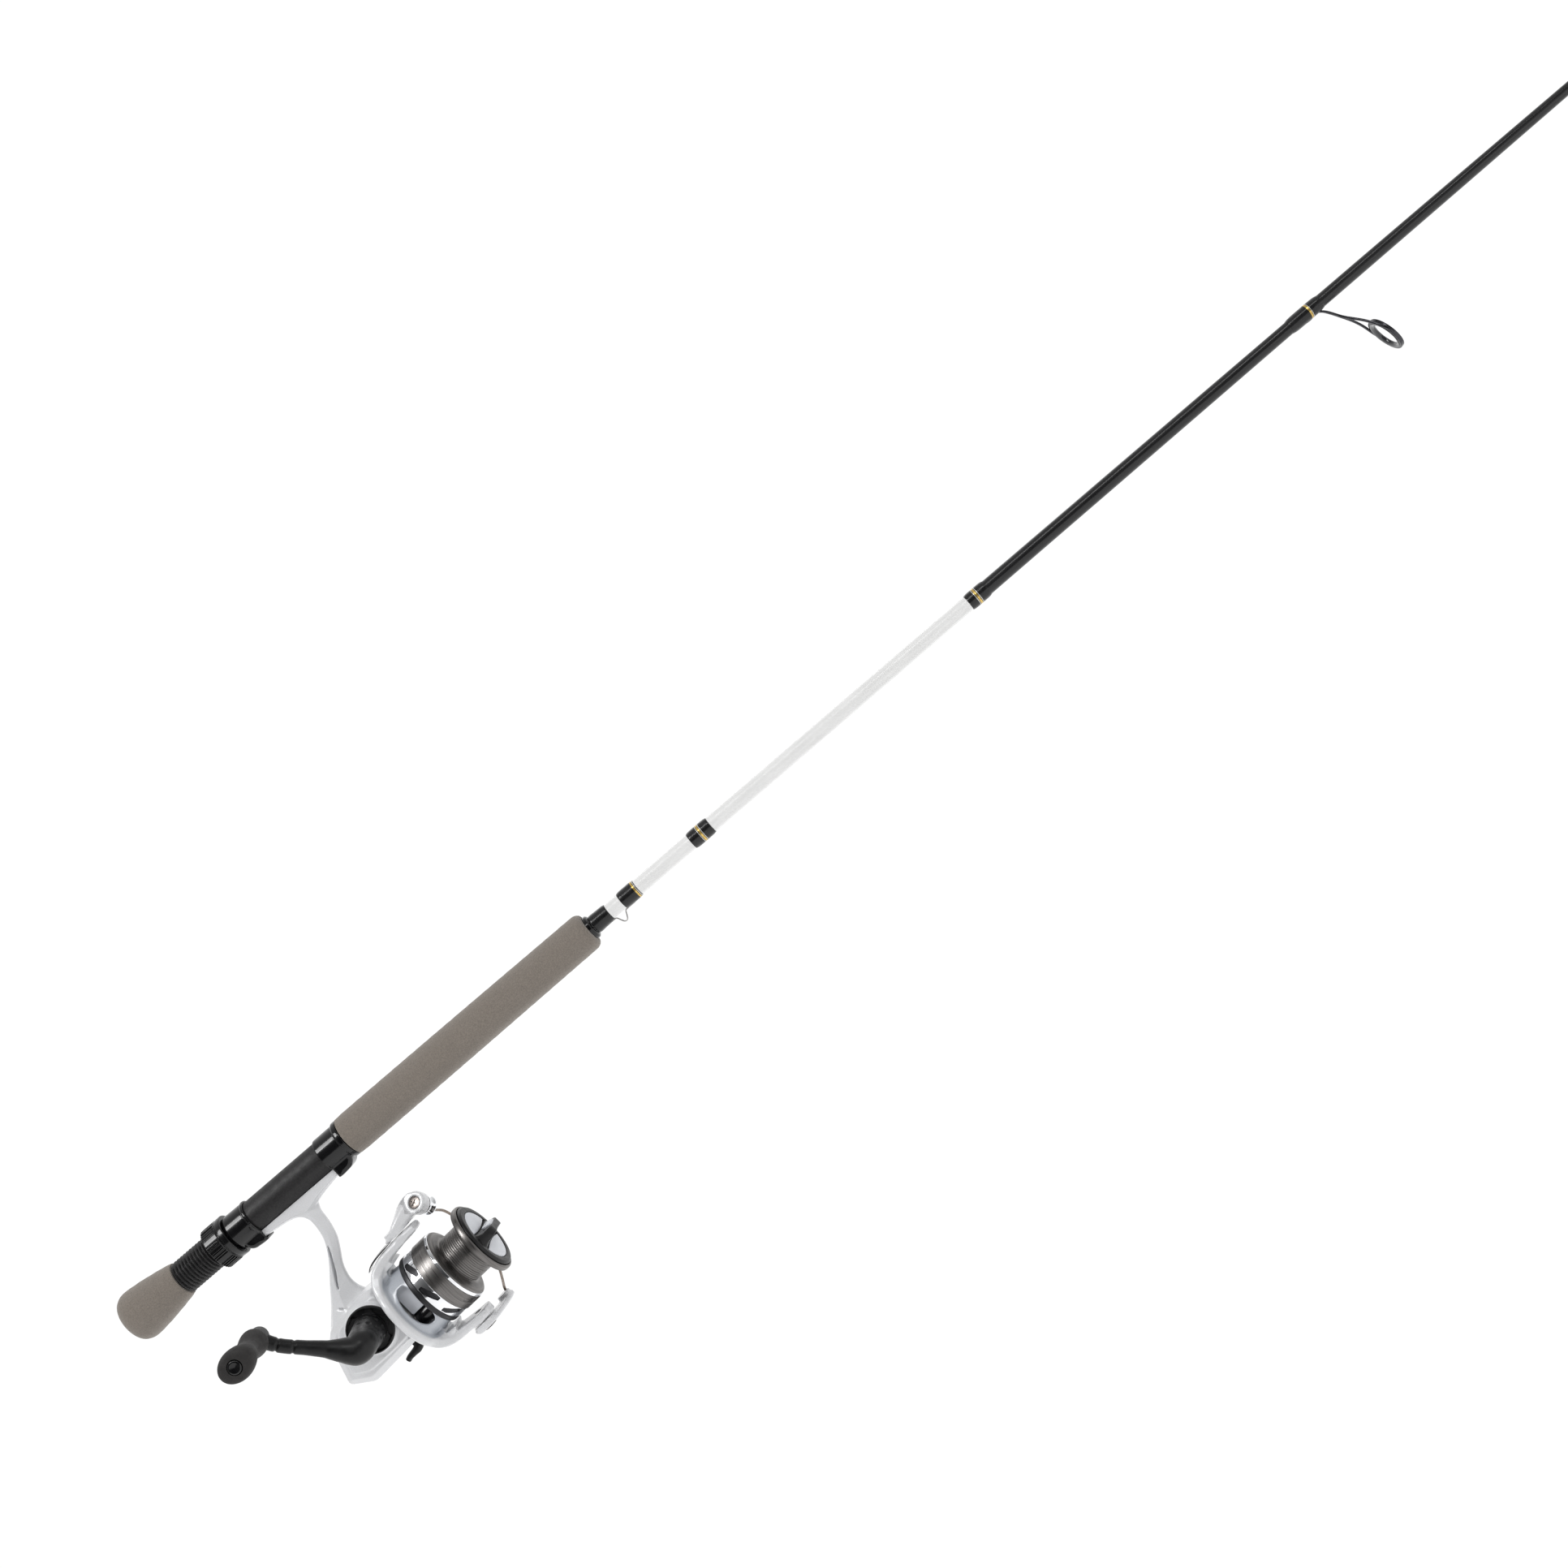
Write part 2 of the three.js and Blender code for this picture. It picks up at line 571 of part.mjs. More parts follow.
function rollerParts() {
  const roller = turned([
    [0, 1.9], [0, 5.4], [1.2, 5.4], [2.6, 4.5], [3.6, 4.1], [4.8, 4.6], [6, 5.4], [6.8, 5.4], [6.8, 1.9],
  ]);
  const turn = new THREE.Quaternion().setFromUnitVectors(new THREE.Vector3(1, 0, 0), ROLLER_AXIS);
  roller.applyQuaternion(turn);
  roller.translate(...alongRoller(8.1).toArray());
  const screw = join(
    bar(alongRoller(0.1), alongRoller(1.5), 3.4, 3.4, 16),
    bar(alongRoller(1), alongRoller(16.9), 1.6, 1.6, 12),
  );
  return [
    mesh('line_roller', roller, CHROME),
    mesh('roller_screw', screw, STEEL),
  ];
}

function bailWire() {
  const end = alongRoller(17.2);
  const line = wire([
    [end.x, end.y, end.z], [45.6, 30.1, 27.5], [45.9, 39.7, 22.5], [46.2, 45.9, 14],
    [47.1, 48.8, 5], [47.2, 49.2, 0], [47, 48.4, -7], [45.9, 44.9, -16], [45.8, 39.3, -23],
    [47, 27.8, -28], [48.9, 17.4, -31.4],
  ], 0.75, 26, 6);
  const cap = cut(
    bar(alongRoller(15.2), alongRoller(18), 3.6, 2.4, 16),
    bar(alongRoller(14), alongRoller(17), 1.8, 1.8, 12),
  );
  return mesh('bail_wire', join(line, cap), STEEL);
}

function bailLever() {
  const plate = slabXY(leverPlan([BAIL_PIVOT_X, 0], 8.3, [48.7, 16.8], 4.6), -38.4, -33.7);
  const pad = barZ(48.7, 16.8, -36, -32.2, 4.4);
  return mesh('bail_lever', cut(join(plate, pad), barZ(BAIL_PIVOT_X, 0, -42, -30, 2.2, 12)), PEARL);
}

function pivotScrew(name, side, headZ) {
  const head = barZ(BAIL_PIVOT_X, 0, Math.min(side * headZ, side * (headZ + 1.4)),
    Math.max(side * headZ, side * (headZ + 1.4)), 4, 16);
  const shank = barZ(BAIL_PIVOT_X, 0, Math.min(side * 29, side * (headZ + 1)),
    Math.max(side * 29, side * (headZ + 1)), 2, 12);
  return mesh(name, join(head, shank), STEEL);
}

// ---- spool and drag ----------------------------------------------------------------------
function spool() {
  return mesh('spool', turned([
    [33, 2.1], [33, 9], [40, 9], [40, 21.8], [21, 21.8], [21, 22.4], [24, 22.5], [24.6, 23],
    [41.4, 23], [43, 22.2], [44, 15.1], [60, 15.1], [60.5, 21.9], [61.2, 22.4], [66.2, 22.4],
    [66.8, 22], [66.8, 20.9], [64.6, 20.9], [64.6, 11.2], [52, 11.2], [52, 2.1],
  ], 28), GUNMETAL);
}

function dragParts() {
  const washers = turned([
    [52.2, 2.1], [52.2, 10.9], [53.6, 10.9], [53.6, 9.8], [54.6, 9.8], [54.6, 10.9], [56, 10.9],
    [56, 9.8], [57, 9.8], [57, 10.9], [58.4, 10.9], [58.4, 2.1],
  ]);
  const disc = turned([[65, 0], [65, 20.6], [67.6, 20.6], [68.4, 19.4], [68.4, 16.5], [67.4, 16.3], [67.4, 0]]);
  const post = rodX(58.9, 66, 6, 20);
  const grip = common(
    slabXY([[67, -16], [67, 16], [69.6, 16], [76.5, 6], [76.5, -6], [69.6, -16]], -6, 6),
    slabXZ([[66.5, -5.6], [66.5, 5.6], [69.6, 4.8], [76.5, 2.4], [76.5, -2.4], [69.6, -4.8]], -17, 17),
  );
  const knob = cut(join(disc, post, grip), rodX(58, 64.9, 1.9, 16));
  const footprint = block(60, 80, -30, 30, -6, 6);
  const inlay = rodX(67.5, 68.2, 16.1);
  const half = (side) => common(inlay, block(60, 80, -30, 30, Math.min(0, side * 30), Math.max(0, side * 30)));
  return [
    mesh('drag_washers', washers, CARBON),
    mesh('drag_knob', knob, BLACK_GLOSS),
    mesh('drag_inlay_upper', cut(half(1), footprint), SILVER),
    mesh('drag_inlay_lower', cut(half(-1), footprint), SILVER),
  ];
}

// ---- handle ------------------------------------------------------------------------------
// arm curving from the hub up and back to the knob
function handleArm() {
  const hub = bar(
    new THREE.Vector3(CRANK.x, -18, CRANK.z), new THREE.Vector3(CRANK.x, -42.5, CRANK.z), 9.3, 8.2,
  );
  const path = [
    [-11.6, -41, -89.3], [-15.6, -43, -89.1], [-20.9, -45.2, -83.1], [-27.3, -48.5, -74.7],
    [-33.4, -51.5, -67.2], [-40, -53.5, -59.9], [-43.9, -54.8, -53.9], [-45.4, -55.8, -49.2],
  ].map(([x, y, z]) => {
    const [rx, rz] = toReel([x, z]);
    return [rx, y, rz];
  });
  const arm = wire(path, 4, 10, 8);
  const elbow = new THREE.SphereGeometry(8.1, 12, 8);
  elbow.translate(CRANK.x - 0.5, -41.2, CRANK.z - 0.3);
  const eye = barY(KNOB.x, KNOB.z, KNOB_ROOT_Y + 1.4, KNOB_ROOT_Y + 8.6, 5.2);
  return mesh('handle_arm', cut(
    join(hub, elbow, arm, eye),
    barY(CRANK.x, CRANK.z, -33.4, -17, 2.65, 16),
    barY(KNOB.x, KNOB.z, KNOB_ROOT_Y, KNOB_ROOT_Y + 11, 2.1, 16),
    barY(KNOB.x, KNOB.z, KNOB_ROOT_Y + 8.6, KNOB_ROOT_Y + 14, 3.6, 16),
  ), BLACK_SATIN);
}

// loft of oval sections [y, half width, half height] about the knob axis
function paddle(sections, sides = 14) {
  const points = [];
  for (const [y, a, b] of sections) {
    for (let i = 0; i < sides; i += 1) {
      const t = i * 2 * Math.PI / sides;
      points.push([KNOB.x + a * Math.cos(t), y, KNOB.z + b * Math.sin(t)]);
    }
  }
  const faces = [];
  for (let k = 0; k < sections.length - 1; k += 1) {
    for (let i = 0; i < sides; i += 1) {
      const j = (i + 1) % sides;
      const [p, q, r, s] = [k * sides + i, k * sides + j, (k + 1) * sides + j, (k + 1) * sides + i];
      faces.push([p, q, r], [p, r, s]);
    }
  }
  const last = (sections.length - 1) * sides;
  for (let i = 1; i < sides - 1; i += 1) {
    faces.push([0, i + 1, i], [last, last + i, last + i + 1]);
  }
  const geometry = new THREE.BufferGeometry();
  geometry.setAttribute('position', new THREE.BufferAttribute(new Float32Array(points.flat()), 3));
  geometry.setIndex(faces.flat());
  return geometry;
}

function knobParts() {
  const body = paddle([
    [0, 5, 5], [1, 6.4, 6.4], [3, 6.9, 6.9], [10, 6.6, 6.4], [18, 6.6, 5.4],
    [25, 8.2, 6.1], [31, 9.8, 7.3], [36, 10, 7.6], [38.6, 8.8, 6.8], [39.4, 6.5, 5.2],
  ].map(([out, a, b]) => [KNOB_ROOT_Y - out, a, b]));
  const bore = barY(KNOB.x, KNOB.z, -110, -50, 2.3, 16);
  const eyeBack = KNOB_ROOT_Y + 8.75;
  const pin = join(
    barY(KNOB.x, KNOB.z, KNOB_CAP_Y + 0.3, eyeBack, 1.95, 16),
    barY(KNOB.x, KNOB.z, eyeBack, eyeBack + 0.5, 3.4, 16),
  );
  return [
    mesh('handle_knob', cut(body, bore, barY(KNOB.x, KNOB.z, -110, KNOB_CAP_Y + 0.1, 4.5)), SOFT_GRIP),
    mesh('knob_pin', pin, STEEL),
    mesh('knob_cap', barY(KNOB.x, KNOB.z, KNOB_CAP_Y - 2.6, KNOB_CAP_Y, 4.35), BLACK_GLOSS),
  ];
}

function crankTrim() {
  const ring = cut(
    barY(CRANK.x, CRANK.z, -17.6, -15.95, 13.7, 24),
    barY(CRANK.x, CRANK.z, -19, -14, 5),
  );
  const stub = barY(CRANK.x, CRANK.z, 12.35, 16, 2.6, 16);
  const cap = join(barY(CRANK.x, CRANK.z, 15.3, 18.2, 6.6), stub);
  return [
    mesh('handle_bearing_ring', ring, BLACK_SATIN),
    mesh('handle_cap', cap, BLACK_SATIN),
  ];
}

// ---- assembly ----------------------------------------------------------------------------
const rod = new THREE.Group();
rod.name = 'rod';
rod.add(
  buttCap(), blank(), seatTube(), seatArbor(), lockNut(),
  hood('sliding_hood', SLIDING_HOOD_X, SLIDING_HOOD_X[1], SLIDING_HOOD_X[0]),
  hood('fixed_hood', FIXED_HOOD_X, FIXED_HOOD_X[0], FIXED_HOOD_X[1], [
    tubeX(HOOD_FLANGE.x, FIXED_HOOD_X[1], HOOD_BORE_R, HOOD_FLANGE.radius),
  ]),
  ...gripParts(),
  wrap('keeper_wrap_rear', 226.2, 237.7, 0.85), hookKeeper(),
  wrap('keeper_wrap_front', 246.6, 258.5), wrap('trim_wrap', 297.6, 311.9),
  wrap('transition_wrap', 498.6, 511.9),
);
GUIDES.forEach((g, i) => {
  rod.add(...guide(i + 1, g));
  rod.add(wrap(`guide_${i + 1}_wrap`, g.foot - g.wrap * 0.8, g.foot + g.wrap * 0.2));
});
rod.add(tipTop());

const reel = new THREE.Group();
reel.name = 'reel';
reel.rotation.y = -REEL_TILT;
reel.position.z = -REEL_DROP;
reel.add(
  reelBody(), sideCover(), ...driveParts(), ...pinionParts(), ...shaftParts(), antiReverseLever(),
  rotor(), ...rotorTrim(), bailArm(), ...rollerParts(), bailWire(), bailLever(),
  pivotScrew('bail_screw_upper', 1, 38.8), pivotScrew('bail_screw_lower', -1, 38.6),
  spool(), ...dragParts(), handleArm(), ...knobParts(), ...crankTrim(),
);

const object = new THREE.Group();
object.name = 'spinning_rod_and_reel';
object.add(rod, reel);
export default object;
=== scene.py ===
# %% [markdown]
# # A spinning rod and reel, dressed over its CAD frame
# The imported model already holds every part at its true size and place, and knows which body each one
# moves with. This lesson gives each part the surface that a tackle maker would: turned grips, thread
# wraps, cast and painted reel parts, anodised and chromed metal. Lengths are worked in millimetres,
# because rods and reels are drawn that way, and turned to metres only when a mesh is made.

# %% Load the frame
import json
import math

import bpy
import numpy as np
from mathutils import Matrix, Vector


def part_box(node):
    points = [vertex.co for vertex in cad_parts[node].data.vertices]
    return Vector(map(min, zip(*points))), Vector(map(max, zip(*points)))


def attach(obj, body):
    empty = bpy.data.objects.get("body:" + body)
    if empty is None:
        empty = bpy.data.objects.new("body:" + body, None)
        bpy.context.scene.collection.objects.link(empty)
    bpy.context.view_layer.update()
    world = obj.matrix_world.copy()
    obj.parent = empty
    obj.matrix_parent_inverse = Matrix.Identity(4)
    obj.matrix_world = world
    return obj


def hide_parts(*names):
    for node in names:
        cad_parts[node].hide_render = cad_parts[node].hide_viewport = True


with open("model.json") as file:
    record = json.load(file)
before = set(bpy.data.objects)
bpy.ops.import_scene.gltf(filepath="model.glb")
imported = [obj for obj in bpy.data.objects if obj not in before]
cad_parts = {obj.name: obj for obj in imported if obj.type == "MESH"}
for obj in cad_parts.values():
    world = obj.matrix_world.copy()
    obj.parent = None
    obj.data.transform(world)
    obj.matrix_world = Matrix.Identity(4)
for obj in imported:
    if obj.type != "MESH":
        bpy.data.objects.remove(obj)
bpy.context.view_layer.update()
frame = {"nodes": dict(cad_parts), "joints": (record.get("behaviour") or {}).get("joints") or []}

# %% [markdown]
# The view is from the handle side, a little ahead of the reel and a little above it, with the
# camera rolled so that the rod climbs to the right. One camera with a 45 mm lens stands about a metre
# away. It comes first, so that everything after is made with the view in mind.

# %% The camera
VIEW_TURN = math.radians(2.3)
VIEW_DIP = math.radians(2.5)
VIEW_ROLL = math.radians(40.74)
forward = Vector((-math.sin(VIEW_TURN) * math.cos(VIEW_DIP),
                  math.cos(VIEW_TURN) * math.cos(VIEW_DIP), -math.sin(VIEW_DIP)))
level = Vector((math.cos(VIEW_TURN), math.sin(VIEW_TURN), 0))
upward = level.cross(forward)
right = math.cos(VIEW_ROLL) * level - math.sin(VIEW_ROLL) * upward
top = math.sin(VIEW_ROLL) * level + math.cos(VIEW_ROLL) * upward
lens = bpy.data.cameras.new("camera")
lens.sensor_width = 36
lens.lens = 44.72
lens.clip_end = 100
camera = bpy.data.objects.new("camera", lens)
camera.matrix_world = Matrix((
    (right.x, top.x, -forward.x, 0.40029),
    (right.y, top.y, -forward.y, -1.07282),
    (right.z, top.z, -forward.z, 0.03756),
    (0, 0, 0, 1)))
bpy.context.scene.collection.objects.link(camera)
bpy.context.scene.camera = camera
print("camera at", tuple(round(v, 3) for v in camera.matrix_world.translation))

# %% [markdown]
# Every piece here is a stack of closed loops of points: rings up a turned profile, sections along a bent
# bar, or copies of an outline drawn in towards a rounded edge. One builder joins each loop to the next.
# Working with whole numpy arrays keeps it quick and keeps each shape a formula that can be read.

# %% From loops of points to a closed surface
MM = 0.001


def stack(loops, ring=False):
    """Quads between each loop and the next; ring=True joins the last loop to the first, and otherwise
    each end is closed by one flat face. The loops are an array of shape (loops, points, 3)."""
    loops = np.asarray(loops, float)
    count, around, _ = loops.shape
    first = np.arange(count if ring else count - 1)[:, None] * around
    here = np.arange(around)[None, :]
    ahead = (here + 1) % around
    size = count * around
    quads = np.stack([first + here, first + ahead, (first + around + ahead) % size,
                      (first + around + here) % size], -1).reshape(-1, 4)
    caps = [] if ring else [np.arange(around)[::-1], size - around + np.arange(around)]
    points = loops.reshape(-1, 3)
    a, b, c, d = (points[quads[:, k]] for k in range(4))
    bulk = np.einsum("ij,ij->i", a, np.cross(b, c)).sum() + np.einsum("ij,ij->i", a, np.cross(c, d)).sum()
    for cap in caps:
        hub = points[cap].mean(0)
        nxt = points[np.roll(cap, -1)]
        bulk += np.einsum("ij,ij->i", np.broadcast_to(hub, nxt.shape), np.cross(points[cap], nxt)).sum()
    if bulk < 0:
        quads = quads[:, ::-1]
        caps = [cap[::-1] for cap in caps]
    return points, [*quads.tolist(), *[cap.tolist() for cap in caps]]


def merged(*shells):
    """Several closed surfaces in one list of points and faces."""
    points, faces, offset = [], [], 0
    for shell_points, shell_faces in shells:
        points.append(shell_points)
        faces += [[i + offset for i in face] for face in shell_faces]
        offset += len(shell_points)
    return np.concatenate(points), faces


def as_mesh(name, shell):
    mesh = bpy.data.meshes.new(name)
    mesh.from_pydata((shell[0] * MM).tolist(), [], shell[1])
    mesh.update()
    return mesh


print("one builder for every surface")

# %% [markdown]
# The reel hangs nose-up by a few degrees, so its pieces are drawn in the reel's own frame, with x along
# the spool's axis, and turned into the rod's frame at the end. The tilt and the drop are read back from
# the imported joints, so that they can't disagree with the CAD.

# %% The reel's own frame
joint = {j["name"]: j for j in frame["joints"]}
axis_x = Vector(joint["rotor_spin"]["axis"])
TILT = math.atan2(axis_x.z, axis_x.x)
REEL_DROP = -joint["rotor_spin"]["pos_m"][2] / MM


def from_reel(points):
    """x' = x cos t - z sin t, z' = x sin t + z cos t - drop."""
    p = np.asarray(points, float)
    return np.stack([p[..., 0] * math.cos(TILT) - p[..., 2] * math.sin(TILT), p[..., 1],
                     p[..., 0] * math.sin(TILT) + p[..., 2] * math.cos(TILT) - REEL_DROP], -1)


def to_reel(x, z):
    """The rod frame's (x, z) written in the reel frame."""
    dz = z + REEL_DROP
    return (x * math.cos(TILT) + dz * math.sin(TILT), -x * math.sin(TILT) + dz * math.cos(TILT))


print(f"reel tilted {math.degrees(TILT):.2f} degrees, {REEL_DROP:.1f} mm below the rod")

# %% [markdown]
# Moulded and turned edges are never sharp. `eased` rounds the corners of a profile or an outline with
# short curves, and `spun` carries a profile round an axis. A profile that starts and ends off the axis
# closes on itself as a ring.

# %% Profiles and outlines
def eased(points, radius, steps=4, closed=False):
    """Each corner becomes a quadratic curve that starts and ends `radius` along its two sides."""
    p = np.asarray(points, float)
    before = np.roll(p, 1, 0)
    after = np.roll(p, -1, 0)
    radius = np.broadcast_to(radius, len(p)).astype(float)
    lead = before - p
    trail = after - p
    lead_len = np.maximum(np.linalg.norm(lead, axis=1), 1e-9)
    trail_len = np.maximum(np.linalg.norm(trail, axis=1), 1e-9)
    reach = np.minimum(radius, 0.45 * np.minimum(lead_len, trail_len))
    if not closed:
        reach[0] = reach[-1] = 0
    start = p + lead / lead_len[:, None] * reach[:, None]
    end = p + trail / trail_len[:, None] * reach[:, None]
    t = np.linspace(0, 1, steps + 1)[None, :, None]
    curve = (1 - t) ** 2 * start[:, None] + 2 * t * (1 - t) * p[:, None] + t ** 2 * end[:, None]
    rows = [curve[i] if reach[i] > 0 else p[i:i + 1] for i in range(len(p))]
    return np.concatenate(rows)


def spun(profile, around=64, wave=None):
    """(x, r) carried round the x axis: (x, r cos a, r sin a). wave(x, a, r) adds to the radius."""
    profile = np.asarray(profile, float)
    ring = profile[0, 1] > 1e-6 and profile[-1, 1] > 1e-6
    profile = profile.copy()
    profile[:, 1] = np.maximum(profile[:, 1], 1e-3)
    a = np.linspace(0, 2 * math.pi, around, endpoint=False)[None, :]
    x = np.repeat(profile[:, :1], around, 1)
    r = np.repeat(profile[:, 1:], around, 1)
    if wave is not None:
        r = r + wave(x, np.broadcast_to(a, x.shape), r)
    loops = np.stack([x, r * np.cos(a), r * np.sin(a)], -1)
    return stack(loops, ring=ring)


def about(shell, origin, axis):
    """A shell made along x, stood on `origin` with its x axis along `axis`."""
    turn = Vector((1, 0, 0)).rotation_difference(Vector(axis)).to_matrix()
    return shell[0] @ np.array(turn).T + np.asarray(origin, float), shell[1]


def resampled(path, count, closed=False):
    """Points at equal steps along a Catmull-Rom curve through the given points."""
    p = np.asarray(path, float)
    ends = (p[-1:], p[:1], p[1:2]) if closed else (2 * p[:1] - p[1:2], 2 * p[-1:] - p[-2:-1], p[:0])
    q = np.concatenate([ends[0], p, ends[1], ends[2]])
    t = np.linspace(0, 1, 17)[:-1][None, :, None]
    p0, p1, p2, p3 = (q[k:len(q) - 3 + k][:, None] for k in range(4))
    fine = 0.5 * (2 * p1 + (p2 - p0) * t + (2 * p0 - 5 * p1 + 4 * p2 - p3) * t ** 2
                  + (3 * p1 - p0 - 3 * p2 + p3) * t ** 3)
    fine = fine.reshape(-1, p.shape[1])
    fine = np.concatenate([fine, fine[:1] if closed else p[-1:]])
    run = np.concatenate([[0], np.cumsum(np.linalg.norm(np.diff(fine, axis=0), axis=1))])
    at = np.linspace(0, run[-1], count + 1)[:-1] if closed else np.linspace(0, run[-1], count)
    return np.stack([np.interp(at, run, fine[:, k]) for k in range(p.shape[1])], -1)


def swept(path, width, height, around=16, count=None, side=(0, 1, 0), power=2.0):
    """A section carried along a path: half `width` along `side`, half `height` across both, with
    |cos|^(2/power) and |sin|^(2/power), so that power 2 is an ellipse and more is squarer."""
    p = resampled(path, count or 4 * len(path))
    tangent = np.gradient(p, axis=0)
    tangent /= np.linalg.norm(tangent, axis=1)[:, None]
    s = np.asarray(side, float) - tangent * (tangent @ np.asarray(side, float))[:, None]
    s /= np.linalg.norm(s, axis=1)[:, None]
    n = np.cross(tangent, s)
    at = np.linspace(0, 1, len(p))
    w = np.interp(at, np.linspace(0, 1, len(np.atleast_1d(width))), np.atleast_1d(width).astype(float))
    h = np.interp(at, np.linspace(0, 1, len(np.atleast_1d(height))), np.atleast_1d(height).astype(float))
    a = np.linspace(0, 2 * math.pi, around, endpoint=False)
    ca = np.sign(np.cos(a)) * np.abs(np.cos(a)) ** (2 / power)
    sa = np.sign(np.sin(a)) * np.abs(np.sin(a)) ** (2 / power)
    loops = p[:, None] + w[:, None, None] * ca[None, :, None] * s[:, None] \
        + h[:, None, None] * sa[None, :, None] * n[:, None]
    return stack(loops)


def slab(outline, low, high, edge=0.0, plane="xz", steps=4):
    """An outline given thickness, its rims rounded: the loop is drawn in by e(1 - sin) as it nears each
    face by e(1 - cos)."""
    o = np.asarray(outline, float)
    turn = (o[:, 0] * np.roll(o[:, 1], -1) - np.roll(o[:, 0], -1) * o[:, 1]).sum()
    flow = np.roll(o, -1, 0) - np.roll(o, 1, 0)
    inward = np.stack([-flow[:, 1], flow[:, 0]], 1) * (1 if turn > 0 else -1)
    inward /= np.maximum(np.linalg.norm(inward, axis=1), 1e-9)[:, None]
    q = np.linspace(0, math.pi / 2, steps + 1)
    draw = np.concatenate([edge * (1 - np.sin(q)), edge * (1 - np.sin(q))[::-1]])
    level_at = np.concatenate([low + edge * (1 - np.cos(q)), (high - edge * (1 - np.cos(q)))[::-1]])
    flat = o[None] + inward[None] * draw[:, None, None]
    rise = np.broadcast_to(level_at[:, None], flat.shape[:2])
    if plane == "xz":
        loops = np.stack([flat[..., 0], rise, flat[..., 1]], -1)
    else:
        loops = np.stack([flat[..., 0], flat[..., 1], rise], -1)
    return stack(loops)


print("profiles, sweeps and slabs ready")

# %% [markdown]
# Die-cast parts flow into each other. `cast` joins overlapping shells into one skin with a voxel
# remesh, cuts hollows out of it, remeshes it again and relaxes it, which rounds every edge by a
# millimetre or so, just as a mould and a coat of paint do. A boolean alone would leave knife edges.
# `carved` takes one shell out of a piece, and `evened` then keeps the light even over its large faces.

# %% Casting overlapping shells into one skin
def applied(obj):
    """The object's mesh with its modifiers worked in."""
    graph = bpy.context.evaluated_depsgraph_get()
    mesh = bpy.data.meshes.new_from_object(obj.evaluated_get(graph))
    obj.modifiers.clear()
    obj.data = mesh
    return obj


def linked(name, mesh):
    obj = bpy.data.objects.new(name, mesh)
    bpy.context.scene.collection.objects.link(obj)
    return obj


def remeshed(obj, voxel):
    """One skin round everything that the object holds, with voxels `voxel` mm across."""
    skin = obj.modifiers.new("skin", "REMESH")
    skin.mode = "VOXEL"
    skin.voxel_size = voxel * MM
    return applied(obj)


def carved(obj, shell, voxel=None):
    """The object less a shell. With a voxel size, overlapping cuts are first joined into one."""
    cutter = linked(obj.name + "_cutter", as_mesh(obj.name + "_cutter", shell))
    if voxel:
        remeshed(cutter, voxel)
    cut = obj.modifiers.new("cut", "BOOLEAN")
    cut.operation = "DIFFERENCE"
    cut.object = cutter
    cut.solver = "EXACT"
    applied(obj)
    bpy.data.objects.remove(cutter)
    return obj


def cast(name, shells, cuts=(), voxel=0.5, relax=6):
    """Overlapping shells as one skin, hollowed by the cuts and relaxed."""
    obj = remeshed(linked(name, as_mesh(name, merged(*shells))), voxel)
    if cuts:
        remeshed(carved(obj, merged(*cuts), voxel * 0.8), voxel)
    ease = obj.modifiers.new("ease", "SMOOTH")
    ease.factor = 0.5
    ease.iterations = relax
    applied(obj)
    obj.data.shade_smooth()
    return obj


def piece(name, shell, sharp=35):
    """A plain piece: smooth shading, with edges sharper than `sharp` degrees kept crisp."""
    obj = linked(name, as_mesh(name, shell))
    obj.data.shade_smooth()
    obj.data.set_sharp_from_angle(angle=math.radians(sharp))
    return obj


def evened(obj, sharp):
    """After a cut, the large faces rule the shading, so that a turned surface keeps its even light."""
    obj.data.shade_smooth()
    obj.data.set_sharp_from_angle(angle=math.radians(sharp))
    even = obj.modifiers.new("even", "WEIGHTED_NORMAL")
    even.keep_sharp = True
    return applied(obj)


def settle(obj, body, slot, finish, *nodes):
    """The piece moves with a body and takes a finish; the CAD nodes it stands for are hidden. `slot` is not
    used.
    """
    obj.data.materials.clear()
    obj.data.materials.append(finish.material)
    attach(obj, body)
    if nodes:
        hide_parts(*nodes)
    return obj


print("casting and finishing ready")

# %% [markdown]
# Each finish is one Principled surface with its colour, roughness and relief driven by noise on Object
# coordinates. Scale is set in real millimetres: foam cells are about half a millimetre, paint flake a
# tenth, and handling marks a centimetre or more.

